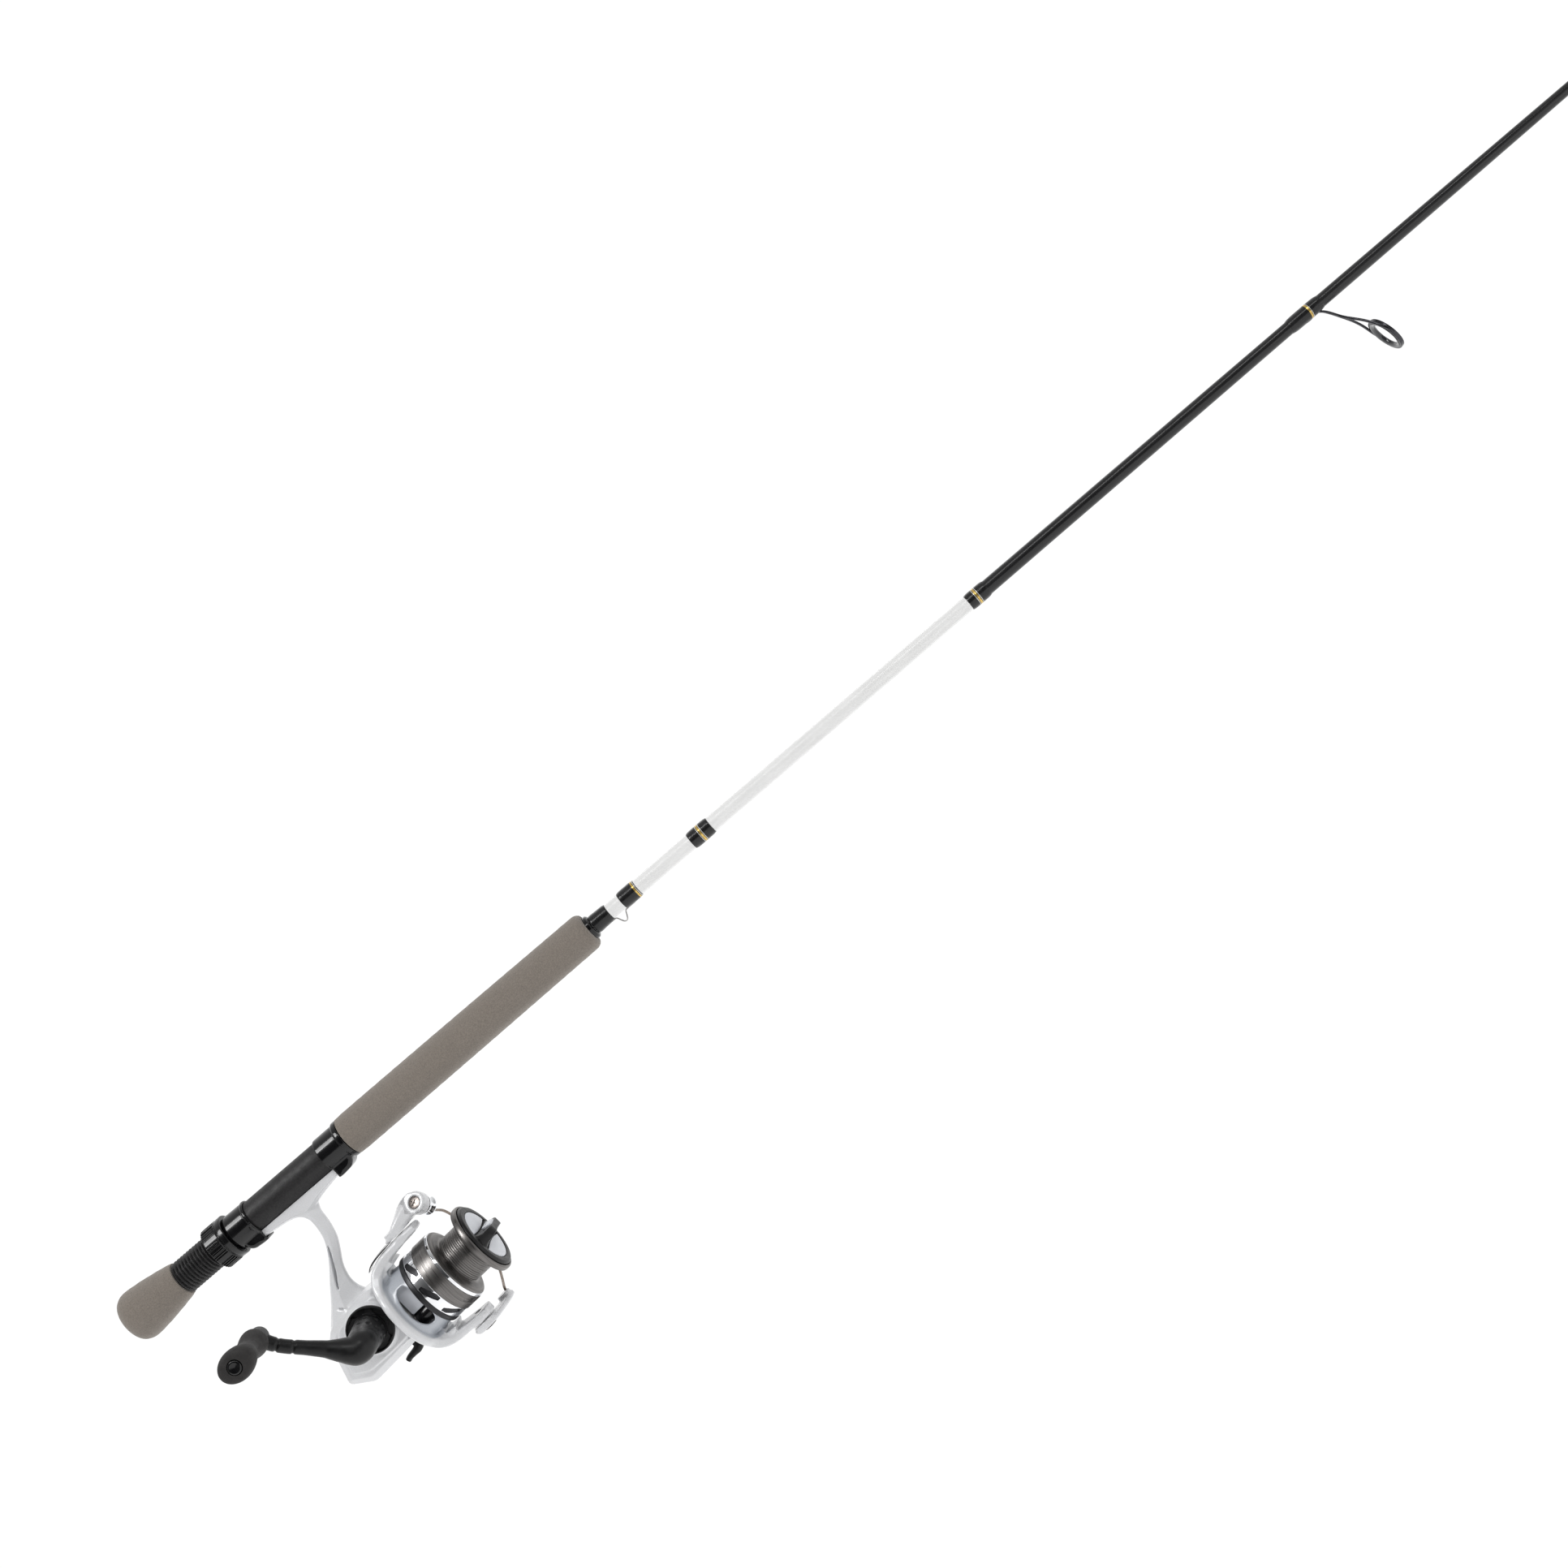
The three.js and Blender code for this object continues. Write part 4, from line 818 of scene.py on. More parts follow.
def guide_pieces(n, foot, ring_x, drop, outer, hole, wire, wrap):
    strap = -(blank_radius(foot - wrap) + 0.6)
    ring = spun(eased([(-1.25, outer - 1.7), (-1.25, outer - 0.3), (-0.9, outer), (0.9, outer),
                       (1.25, outer - 0.3),
                       (1.25, outer - 1.7)], 0.3), 96)
    legs = [leaning(ring, ring_x, drop)]
    for side in (-1, 1):
        line = [(foot - wrap * 0.62, 0, strap + 0.5), (foot - wrap * 0.3, side * 0.2, strap + 0.1),
                (foot + 1.2, side * 0.5 * wire, strap - 0.1),
                (foot + (ring_x - foot) * 0.42, side * wire * 1.0, strap - (drop + strap) * 0.32),
                (foot + (ring_x - foot) * 0.72, side * outer * 0.5, strap - (drop + strap) * 0.60),
                (ring_x - 1.5, side * (outer - 0.8), -drop + outer * 0.35),
                (ring_x + 0.3, side * (outer - 0.5), -drop - outer * 0.12)]
        legs.append(swept(line, wire, [0.3, 0.35, wire, wire, wire, wire, wire], 14, 70))
    frame_piece = piece(f"guide_{n}_wire_frame", merged(*legs), 50)
    settle(frame_piece, "rod", "guide_frame", guide_metal, f"guide_{n}_frame")
    edge = outer - 1.6
    t = np.linspace(-1, 1, 17)
    bowl = [(1.5 * k, hole + (edge - hole) * 0.75 * abs(k) ** 2.6) for k in t]
    hoop = spun([*bowl, (1.5, edge), (-1.5, edge)], 96)
    settle(piece(f"guide_{n}_hoop", leaning(hoop, ring_x, drop), 50), "rod", "ceramic_ring", ceramic,
           f"guide_{n}_ring")
    x0, x1 = foot - wrap * 0.8, foot + wrap * 0.2
    wrap_piece(f"guide_{n}_thread", f"guide_{n}_wrap", x0, x1, 0.6)
    gold_x = x0 + (x1 - x0) * 0.6
    band_piece(f"guide_{n}_gold", gold_x, 1.1, 0.76, gold_thread, "thread_epoxy")
    band_piece(f"guide_{n}_pale", gold_x + 0.9, 0.25, 0.74, pale_thread, "thread_epoxy")


for n, numbers in enumerate(GUIDES, 1):
    guide_pieces(n, *numbers)
print(len(GUIDES), "guides, rings from", 2 * GUIDES[0][3], "to", 2 * GUIDES[-1][3], "mm across")

# %% [markdown]
# **Tip-top.** A drawn sleeve glued over the end of the blank, with its own small ring on a short frame.
# It is a tube, a ring and two struts run together in one metal.

# %% Tip-top
tip_sleeve = spun([(1689.6, 0.6), *eased([(1689.6, 1.25), (1690, 1.45), (1704.5, 1.3), (1706.6, 0.9),
                                          (1707.1, 0)], 0.3)], 48)
tip_ring = spun(eased([(-0.95, 2.2), (-1.0, 3.3), (-0.7, 3.6), (0.7, 3.6), (1.0, 3.3), (0.95, 2.2), (0, 2.05)],
                      0.25), 64)
tip_shells = [tip_sleeve, leaning(tip_ring, 1705.8, 6)]
for side in (-1, 1):
    tip_shells.append(swept([(1700, side * 0.7, -0.9), (1702.5, side * 1.3, -2.4), (1704.6, side * 2.4, -4),
                             (1705.6, side * 3.1, -5.6)], 0.35, 0.35, 10, 30))
settle(piece("tip_top_metal", merged(*tip_shells), 50), "rod", "guide_frame", guide_metal, "tip_top")
print("tip at 1707.1 mm")

# %% [markdown]
# **Reel body.** A one-piece casting: the foot clamped in the seat, a slim stem, and the gear housing.
# The stem is a loft, blunt at the back, thin at the front and widest at a ridge nearly half way, so
# that light splits along it into a side face and a front facet. The housing is a slab with a wide
# chamfer. Everything is cast together so that the joins become fillets, then the slot and the seams
# are cut in.

# %% Reel body casting
HOUSING = [(2, 23.6), (2, -14.8), (-13.2, -15.6), (-33.0, -16.2), (-45.6, -7.4), (-41.0, 6.5), (-37.4, 17.0),
           (-32, 22), (-22, 25), (-5, 25)]
STEM_FRONT = [(8.6, -14.2), (7.2, -17.2), (6, -19.8), (5.3, -22.6), (4.7, -29.7), (2.6, -38.2), (-1.2, -45.4),
              (-5.2, -52), (-7.6, -59.8), (-7.0, -67), (-3.4, -73.6), (0, -79), (1, -84)]
STEM_BACK = [(-9.5, -14.2), (-4.9, -17.2), (-3.2, -19.8), (-2.3, -22.6), (-2.5, -28.7), (-3.9, -35.1),
             (-7.6, -42.4),
             (-12.9, -49.8), (-18.9, -57.2), (-24.3, -64.6), (-30.0, -71.5), (-35.2, -78), (-38.5, -84)]
STEM_HALF = [5.6, 4.9, 4.6, 4.5, 4.5, 4.6, 4.9, 5.3, 6.0, 7.6, 9.8, 11.8, 13.0]
RIDGE = 0.46


def reel(shell):
    return from_reel(shell[0]), shell[1]


def stem_loft():
    """Sections across the stem: back edge, ridge and front edge, with the ridge at full half width."""
    front = resampled(STEM_FRONT, 60)
    back = resampled(STEM_BACK, 60)
    half = np.interp(np.linspace(0, 1, 60), np.linspace(0, 1, len(STEM_HALF)), STEM_HALF)[:, None]
    share = np.array([0.0, 0.10, RIDGE, 0.93, 1.0, 1.0, 0.93, RIDGE, 0.10, 0.0])[None, :]
    wide = np.array([0.55, 0.84, 1.0, 0.35, 0.15, -0.15, -0.35, -1.0, -0.84, -0.55])[None, :]
    x = back[:, :1] + (front[:, :1] - back[:, :1]) * share
    z = back[:, 1:] + (front[:, 1:] - back[:, 1:]) * share
    return stack(np.stack([x, -half * wide, z], -1))


def foot_loft():
    """The foot along x: flat sides, a bottom that falls in a curve toward the stem, bevelled."""
    x = np.array([-31.4, -30.9, -24, -18, -12, -8.5, -5, -1, 3, 7, 11, 15, 20, 25, 31.2, 31.7])
    deep = np.array([11.6, 12.1, 12.8, 13.5, 14.3, 15.2, 16.6, 18, 18, 17.0, 15.7, 14.9, 14.0, 13.2, 12.3,
                     11.8])
    flank = np.array([11.0, 11.4, 12.0, 12.5, 13.1, 13.7, 14.8, 16.5, 16.2, 14.8, 13.8, 13.2, 12.6, 12.0, 11.5,
                      11.1])
    side = np.array([5.0, 5.5, 5.7, 5.7, 5.7, 5.7, 5.6, 5.5, 5.5, 5.6, 5.7, 5.7, 5.7, 5.7, 5.5, 5.0])
    y = np.stack([-side, -side, -side * 0.52, side * 0.52, side, side], -1)
    z = np.stack([-7.0 + 0 * x, -flank, -deep, -deep, -flank, -7.0 + 0 * x], -1)
    return stack(np.stack([x[:, None] + 0 * y, y, z], -1))


crank_at = Vector(joint["crank_turn"]["pos_m"]) / MM
crank_x, crank_z = to_reel(crank_at.x, crank_at.z)


def across(profile, x, z, around=96):
    """A profile of (y, radius) turned about the cross axis through the reel-frame point (x, z)."""
    p, faces = spun(profile, around)
    return from_reel(np.stack([x + p[:, 1], p[:, 0], z + p[:, 2]], -1)), [face[::-1] for face in faces]


housing = reel(slab(eased(HOUSING, 2.5, 3, closed=True), -12.7, 12.7, 4.2, steps=1))
housing_side = reel(slab(eased([(1.9, 20), (1.9, -9.6), (-13, -9.9), (-29.6, -9.3), (-38.6, -3.8), (-34.6, 6.5),
                                (-30.2, 15.5), (-26, 19.4), (-16, 21.5), (-6, 21.5)], 2.5, 3, closed=True),
                         -13.9, 12.7, 0.7,
                         steps=2))
boss = across([(-15.9, 0), *eased([(-15.9, 14.0), (-12.5, 15.4), (-6, 16.5)], 0.8), (-6, 0)], crank_x, crank_z)
bevel_line = [(-40.2, -4.3), (-36, -7.6), (-30.2, -10.6), (-22, -11.6), (-13, -11.9), (-5, -11.7), (1.5, -11.2)]
bevel_groove = reel(swept([(x, -13.5, z) for x, z in bevel_line], 1.0, [0.2, 0.45, 0.5, 0.45, 0.2], 8, 60))
slot_line = [(-2.9, -36.5), (-6.4, -44), (-10.2, -51.5), (-13.6, -57.5), (-15.6, -62)]
slots = [swept([(x, side * 5.6, z) for x, z in slot_line], 5.0, [0.25, 0.8, 0.95, 0.8, 0.35], 12,
               50) for side in (-1, 1)]
seam_line = [(-22.6, -68.4), (-20.0, -70.6), (-16.2, -72.6), (-13.8, -73.4)]
seams = [swept([(x, side * (8.2 + 0.20 * k), z) for k, (x, z) in enumerate(seam_line)], 1.9,
               [0.5, 0.5, 0.4, 0.2], 8, 30)
         for side in (-1, 1)]
arbor_cut = spun([(-45, 0), (-45, 9.85), (45, 9.85), (45, 0)], 96)
shaft_well = reel(spun([(-1, 0), (-1, 6.0), (3, 6.0), (3, 0)], 48))
body = cast("reel_body_casting", [housing, housing_side, boss, stem_loft(), foot_loft()],
            [arbor_cut, bevel_groove, *slots, *seams, shaft_well], 0.42, 3)
settle(body, "rod", "pearl_paint", pearl_paint, "reel_body")
cover = piece("side_cover_plate", reel(slab(eased([(-0.5, 21), (-0.5, -12.6), (-13, -13), (-30.6, -12.2),
                                                   (-40.8, -5.8),
                                                   (-36.3, 5.8), (-31.4, 17.4), (-26.6, 23.6), (-12, 24)], 3, 5,
                                                  closed=True),
                                            12.4, 15, 1.6)), 40)
settle(cover, "rod", "pearl_paint", pearl_paint, "side_cover")
print("body casting:", len(body.data.vertices), "points")

# %% [markdown]
# **Screws.** A cross recess is cut into each head with two crossed wedges, after the head has been
# turned with a soft dome. Every screw on the reel is made by the same function.

# %% A screw head with a cross recess
def rectangle(x, y, z):
    """The corners of a rectangle across x, with half sides y and z."""
    return [(x, -y, -z), (x, y, -z), (x, y, z), (x, -y, z)]


def screw(name, centre, axis, radius, high, body_name, nodes=()):
    """A dome z = high (1 - 0.28 (r / R)^2) on a short shank, its cross slots cut 0.75 high deep."""
    r = np.linspace(0, radius, 12)
    dome = [(high * (1 - 0.28 * (k / radius) ** 2), k) for k in r]
    head = about(spun([*dome, (high * 0.45, radius * 1.0), (-high, radius * 0.98), (-high, 0)], 48), centre,
                 axis)
    obj = piece(name, head, 40)
    wide, reach, deep = radius * 0.115, radius * 0.62, high * 0.75
    for y, z in ((reach, wide), (wide, reach)):
        arm = stack([rectangle(high * 1.2, y, z), rectangle(high - deep, y * 0.7, z * 0.7)])
        carved(obj, about(arm, centre, axis))
    evened(obj, 35)
    return settle(obj, body_name, "steel", dark_nickel, *nodes)


dark_nickel = Finish("dark_nickel", (0.17, 0.15, 0.14), 0.22, 1.0)
dark_nickel.mottle(1.0, 0.8, 1.25).sheen_marks(0.8, 0.15, 0.33)
dark_nickel.relief(dark_nickel.noise(0.4, 2.0), 0.006)


def reel_dir(v):
    return Vector(from_reel([v])[0] - from_reel([(0, 0, 0)])[0]).normalized()


rear_axis = reel_dir((-0.9, -0.43, 0.05))
screw("body_rear_screw", from_reel([(-37.6, -10.6, 4.4)])[0], rear_axis, 1.7, 0.7, "rod")
for n, (x, z) in enumerate(((-5, 16.5), (-5, -8.6), (-33.5, -5.5)), 1):
    screw(f"cover_screw_{n}", from_reel([(x, 14.9, z)])[0], (0, 1, 0), 2.0, 0.7, "rod")
print("body screws fitted")

# %% [markdown]
# **Handle socket.** A black moulded ring fills the housing's boss. Six lens-shaped pockets are pressed in
# its face between grey webs; they are shallow, so they are cut with rounded wedges into the turned ring.

# %% Socket ring and its pockets
socket = across([(-16.0, 4), (-16.0, 13.75), *eased([(-17.2, 13.75), (-17.75, 13.3), (-17.75, 12.2),
                                                     (-17.0, 11.7), (-17.0, 9.6),
                                                     (-18.3, 9.2), (-18.3, 4)], 0.2)], crank_x, crank_z, 128)


def pocket_wedge(k):
    """A bean shape: radius 9.4 to 12.9 at its middle, closing over 46 degrees of turn."""
    t = np.linspace(-1, 1, 15)
    a0 = math.radians(60 * k + 22)
    outer = 12.9 - 0.2 * t ** 2
    inner = 12.7 - 3.3 * np.sqrt(np.maximum(0, 1 - t ** 2))
    a = a0 + np.radians(23) * t
    rim = np.concatenate([np.stack([outer * np.cos(a), outer * np.sin(a)], 1),
                          np.stack([inner * np.cos(a), inner * np.sin(a)], 1)[::-1][1:-1]])
    rim += (crank_x, crank_z)
    return reel(slab(rim, -19.5, -16.1, 0.0, steps=1))


ring_obj = piece("handle_socket_ring", socket, 35)
for k in range(6):
    carved(ring_obj, pocket_wedge(k))
evened(ring_obj, 32)
settle(ring_obj, "rod", "black_satin", satin_black, "handle_bearing_ring")
print("six pockets pressed")

# %% [markdown]
# **Crank arm.** A satin black casting: a round hub on the shaft, a full elbow, and an arm that curves up
# to the knob. The arm is one sweep whose radius falls from the elbow to the wrist, with two turned
# grooves near the knob and a seam where the folding joint closes. Dimples ring the hub.

# %% Crank arm
ARM = [(-11.9, -35.5, -88.7), (-12.2, -40.6, -89.2), (-15.2, -43.0, -89.0), (-20.7, -45.2, -83.4),
       (-27.3, -48.5, -75),
       (-33.4, -51.2, -67.6), (-39.6, -53.4, -60.2), (-43.4, -54.8, -54.0), (-45.0, -55.8, -49.4)]


def arm_shell():
    """A round sweep: radius 8.3 at the elbow, falling to 3.8, with two grooves 1.1 deep near the wrist."""
    t = np.linspace(0, 1, 260)
    r = np.interp(t, [0, 0.08, 0.16, 0.30, 0.42, 0.60, 0.80, 1.0], [8.3, 8.4, 8.2, 6.2, 4.6, 3.9, 3.8, 4.1])
    for at in (0.70, 0.845):
        r = r - 1.1 * np.exp(-((t - at) / 0.008) ** 2)
    return swept(ARM, r, r, 40, 260, side=(0.3, 1, 0.3))


hub = across([(-18.4, 0), *eased([(-18.4, 9.2), (-19.2, 9.5), (-22, 9.3), (-35, 8.6), (-41, 8.1), (-44.5, 7.0),
                                  (-48.2, 4.4)],
                                 1.2), (-49.5, 0)], crank_x, crank_z)
knob_at = Vector(joint["knob_spin"]["pos_m"]) / MM
eye = about(spun([(0, 0), *eased([(0, 4.6), (0.8, 5.3), (7.0, 5.4), (8.2, 4.6)], 0.7), (8.2, 0)], 64),
            (knob_at.x, -51.9, knob_at.z), (0, -1, 0))


def ball(centre, r):
    t = np.linspace(0, math.pi, 16)
    return about(spun(np.stack([-r * np.cos(t), r * np.sin(t)], 1), 20), centre, (1, 0, 0))


dimples = []
for k in range(10):
    a = 2 * math.pi * k / 10 + 0.2
    for y, r in ((-23.2, 9.9), (-30.0, 9.5)):
        dimples.append(ball(from_reel([(crank_x + r * math.cos(a + y * 0.05), y,
                                        crank_z + r * math.sin(a + y * 0.05))])[0], 1.6))
notch = swept([(-23.0, -53.6, -76.4), (-19.6, -52.4, -78.8), (-17.0, -50.6, -81.4)], 0.9, 0.55, 8, 20)
crank_arm = cast("crank_arm_casting", [hub, arm_shell(), eye], dimples + [notch], 0.4, 2)
settle(crank_arm, "crank", "black_satin", satin_black, "handle_arm")
far_cap = across([(15.2, 0), (15.2, 6.4), *eased([(15.2, 6.7), (17.4, 6.7), (18.3, 5.9), (18.3, 3.2),
                                                  (17.7, 2.6), (17.7, 0)], 0.3)],
                 crank_x, crank_z)
settle(piece("crank_far_cap", far_cap, 40), "crank", "black_satin", satin_black, "handle_cap")
print("crank arm:", len(crank_arm.data.vertices), "points")

# %% [markdown]
# **Knob.** A soft-touch paddle. Oval sections along the pin swell at the root, pinch at the waist and
# spread again at the end, where a glossy round cap closes the pin's bore. The knob turns on the pin.

# %% Paddle knob
KNOB = [(-60.6, 0.1, 0.1), (-60.6, 4.4, 4.4), (-60.9, 5.9, 5.9), (-62.0, 7.1, 7.1), (-64.3, 7.6, 7.6),
        (-67.8, 7.6, 7.4),
        (-72.8, 7.2, 6.6), (-78.8, 7.2, 6.0), (-82.8, 8.0, 6.4), (-86.8, 9.2, 7.1), (-91.8, 10.6, 8.1),
        (-95.8, 11.0, 8.6),
        (-98.4, 10.5, 8.3), (-99.7, 9.5, 7.6), (-100.3, 8.2, 6.7), (-100.5, 6.5, 5.5), (-100.4, 4.3, 4.3),
        (-99.4, 4.15, 4.15),
        (-99.4, 0.1, 0.1)]


def paddle():
    rows = np.array(KNOB, float)
    fine = np.concatenate([rows[:2], resampled(rows[1:17], 90)[1:], rows[17:]])
    a = np.linspace(0, 2 * math.pi, 64, endpoint=False)[None, :]
    x = fine[:, 1:2] * np.cos(a)
    z = fine[:, 2:3] * np.sin(a)
    p = np.stack([x, fine[:, :1] + 0 * x, z], -1)
    p[..., 0] += to_reel(knob_at.x, knob_at.z)[0]
    p[..., 2] += to_reel(knob_at.x, knob_at.z)[1]
    return stack(from_reel(p))


settle(piece("paddle_knob", paddle(), 50), "handle_knob", "soft_grip", soft_grip, "handle_knob")
knob_end = about(spun([(0, 0), (0, 3.9), *eased([(1.5, 3.95), (2.2, 3.7), (2.45, 3.0), (2.0, 0.0)], 0.5)], 64),
                 (knob_at.x, -98.6, knob_at.z), (0, -1, 0))
settle(piece("knob_end_cap", knob_end, 40), "handle_knob", "black_gloss", black_gloss, "knob_cap")
print("knob", round(2 * max(r[1] for r in KNOB), 1), "mm across its paddle")

# %% [markdown]
# **Rotor.** A deep cup on a flange, with two arms that grow out of the flange in one sweeping U. The U
# is one band carried from arm tip to arm tip; its half width across is the flange's own chord at the
# base and narrows to the pivot pads. The window is cut through both sides of the cup.

# %% Rotor casting
U_LINE = [(40.2, 31.0), (36, 31.0), (30, 30.6), (22, 30.0), (15, 28.9), (9.6, 26.2), (6.4, 21.4), (5.4, 15),
          (5.1, 8), (5.1, 0)]
UPPER_TIP, LOWER_TIP = 42.0, 38.6
PIVOT_X = 32.2
U_WIDE = [7.6, 8.2, 8.3, 8.9, 10.2, 13.2, 17.5, 22.2, 25.8, 26.9]
U_THICK = [2.1, 2.4, 2.6, 2.9, 3.3, 3.5, 3.1, 2.7, 2.5, 2.45]


def rotor_band():
    """The U band: path (x, z) mirrored about the axis, half width and half thickness along it."""
    line = [(x, 0, z) for x, z in U_LINE] + [(x, 0, -z) for x, z in U_LINE[-2::-1]]
    line[0], line[-1] = (UPPER_TIP, 0, U_LINE[0][1]), (LOWER_TIP, 0, -U_LINE[0][1])
    wide = U_WIDE + U_WIDE[-2::-1]
    thick = U_THICK + U_THICK[-2::-1]
    return swept(line, wide, thick, 56, 200, power=5.0)


def disc_z(x, y, low, high, r, edge=0.5, around=64):
    """A disc from z = low to z = high about the reel-frame point (x, y), its rims eased."""
    shell = spun([(low, 0), *eased([(low, r), (high, r)], edge), (high, 0)], around)
    p = shell[0]
    return np.stack([x + p[:, 1], y + p[:, 2], p[:, 0]], -1), shell[1]


cup = spun([(2.9, 3.3), *eased([(2.9, 25.2), (4.4, 26.9), (6.6, 26.9), (8.2, 24.6), (9.4, 21.6), (25, 21.3),
                                (25, 19.7),
                                (5.4, 19.7), (5.4, 8), (9, 8), (9, 3.3)], 0.9)], 128)
pads = [disc_z(PIVOT_X, 0, low, high, 8.2, 0.9) for low, high in ((28.6, 33.4), (-33.4, -28.6))]
WEB = [(9, 20.4), (13.9, 20.4), (14.1, 24.0), (21, 24.2), (19.5, 26.3), (14, 26.8), (8.8, 26.6)]
webs = [slab([(x, z * s) for x, z in WEB], -9.6, 9.6, 0.5) for s in (1, -1)]
window = slab([(15.9 + 5.3 * math.copysign(abs(math.cos(t)) ** 0.75, math.cos(t)),
                13.2 * math.copysign(abs(math.sin(t)) ** 0.9, math.sin(t)))
               for t in np.linspace(0, 2 * math.pi, 48, endpoint=False)], -32, 32, 0.0, steps=1)
tip_bores = disc_z(PIVOT_X, 0, -45, 45, 2.1, 0.0, 32)
rotor_obj = cast("rotor_casting", [reel(cup), reel(rotor_band()), *[reel(s) for s in pads + webs]],
                 [reel(window), reel(tip_bores)], 0.5, 5)
settle(rotor_obj, "rotor", "pearl_paint", rotor_paint_with_shade, "rotor")
strip_line = [(5.4, 0, 30.0), (8.2, 0, 31.7), (13, 0, 33.0), (19, 0, 33.7), (24.4, 0, 33.85)]
strip = reel(swept(strip_line, [4.6, 6.4, 6.6, 6.4, 4.4], [0.25, 0.55, 0.62, 0.55, 0.25], 32, 80, power=3.5))
settle(piece("rotor_cover_strip", strip, 50), "rotor", "black_gloss", black_gloss, "rotor_arm_cover")
print("rotor casting:", len(rotor_obj.data.vertices), "points")

# %% [markdown]
# **Inside the rotor.** Through the window one sees a painted inner shield, and under it the black
# collar of the shaft. Both turn with the rotor and stay clear of the spool.

# %% Rotor's inner shield and collar
shield = reel(slab(eased([(9.6, -3.2), (23.6, -3.2), (23.6, 13.4), (9.6, 13.4)], 1.2, 4, closed=True), -13.6,
                   -11.8, 0.5))
settle(piece("rotor_inner_shield", shield, 40), "rotor", "silver_paint", pale_silver_and_highlight)
collar = about(spun([(0, 2.6), *eased([(0, 4.6), (2, 4.9), (9, 4.9), (9.6, 4.3), (11.6, 4.3), (12, 4.9),
                                       (14.6, 4.9), (14.8, 4.2)],
                                      0.4), (14.8, 2.6)], 64), (9.2, -9.0, -8.0), (1, 0, 0))
settle(piece("rotor_inner_collar", reel(collar), 40), "rotor", "black_gloss", black_gloss)
print("shield and collar placed")

# %% [markdown]
# **Bail arm.** It pivots on the upper rotor arm, rises to a boss and holds the line roller. A flat
# tapering sweep, a pivot disc and a short cylinder on the roller's axis are cast together, and the
# screw's seat is sunk into the boss.

# %% Bail arm casting
roller_axis_world = Vector(joint["roller_spin"]["axis"])
roller_face = Vector(from_reel([(48, 6, 40.3)])[0])


def on_roller(distance):
    return roller_face + roller_axis_world * distance


arm_line = [(23.6, -0.6, 35.0), (28, -0.4, 36.0), (32.2, 0, 37.2), (37, 0.6, 38.4), (42, 2.6, 39.9),
            (46.4, 6.2, 41.2),
            (48.8, 8.6, 40.8)]
arm_wide = [4.2, 7.4, 8.2, 7.8, 7.0, 6.2, 5.4]
arm_deep = [0.9, 1.9, 3.1, 4.3, 5.5, 5.8, 5.2]
arm_sweep = reel(swept(arm_line, arm_wide, arm_deep, 40, 120, power=3.2))
pivot_disc = reel(disc_z(PIVOT_X, 0, 34.4, 38.6, 8.0, 1.0))
roller_boss = about(spun([(-0.2, 0), *eased([(-0.3, 5.9), (0.5, 6.6), (6.2, 6.4), (7.6, 5.6)], 0.6), (7.6, 0)],
                         64),
                    on_roller(0), roller_axis_world)
screw_seat = about(spun([(-4, 0), (-4, 3.75), (1.35, 3.75), (1.35, 0)], 64), on_roller(0), roller_axis_world)
face_cut = about(spun([(-9, 0), (-9, 7.4), (-0.3, 7.4), (-0.3, 0)], 64), on_roller(0), roller_axis_world)
under_cut = reel(slab([(20, 29), (39.5, 29), (39.5, 33.9), (20, 34.0)], -14, 14, 0.0, steps=1))
pivot_seat = reel(disc_z(PIVOT_X, 0, 37.9, 42, 4.3, 0.0, 48))
bail = cast("bail_arm_casting", [arm_sweep, pivot_disc, roller_boss],
            [screw_seat, face_cut, under_cut, pivot_seat], 0.38, 3)
settle(bail, "bail", "pearl_paint", pearl_paint, "bail_arm")
screw("roller_screw_head", on_roller(0.9), -roller_axis_world, 3.45, 1.05, "bail", nodes=("roller_screw",))
screw("bail_screw_top", from_reel([(PIVOT_X, 0, 38.0)])[0], reel_dir((0, 0, 1)), 3.9, 1.0, "rotor",
      nodes=("bail_screw_upper",))
screw("bail_screw_bottom", from_reel([(PIVOT_X, 0, -38.4)])[0], reel_dir((0, 0, -1)), 3.9, 1.0, "rotor",
      nodes=("bail_screw_lower",))
print("bail arm:", len(bail.data.vertices), "points")

# %% [markdown]
# **Line roller, wire and trip lever.** The roller is chromed, with a groove that the line runs in. The
# wire is one bent rod that loops round behind the spool from the roller's cap to the lower lever. The
# lever is a thin casting with a raised pad.

# %% Roller, bail wire and lever
roller_shell = spun(eased([(0, 1.9), (0, 5.3), (0.4, 5.55), (1.3, 5.45), (2.4, 4.7), (3.4, 4.2), (4.6, 4.7),
                           (5.7, 5.5), (6.5, 5.5),
                           (6.8, 5.1), (6.8, 1.9)], 0.3), 96)
settle(piece("line_roller_drum", about(roller_shell, on_roller(8.1), roller_axis_world), 50), "line_roller",
       "chrome",
       chrome, "line_roller")
seal = spun([(-0.55, 4.0), *eased([(-0.55, 5.5), (0.1, 5.75), (0.35, 5.5)], 0.2), (0.35, 4.0)], 96)
settle(piece("roller_seal_ring", about(seal, on_roller(7.75), roller_axis_world), 50), "bail", "black_gloss",
       black_gloss)
wire_end = to_reel(on_roller(17.2).x, on_roller(17.2).z)
WIRE = [(wire_end[0], on_roller(17.2).y, wire_end[1]), (45.6, 30.1, 27.5), (45.9, 39.7, 22.5), (46.2, 45.9, 14),
        (47.1, 48.8, 5),
        (47.2, 49.2, 0), (47, 48.4, -7), (45.9, 44.9, -16), (45.6, 39.3, -23), (45.9, 27.8, -28.2),
        (46.2, 18.6, -31.6),
        (46.2, 17.2, -34.2)]
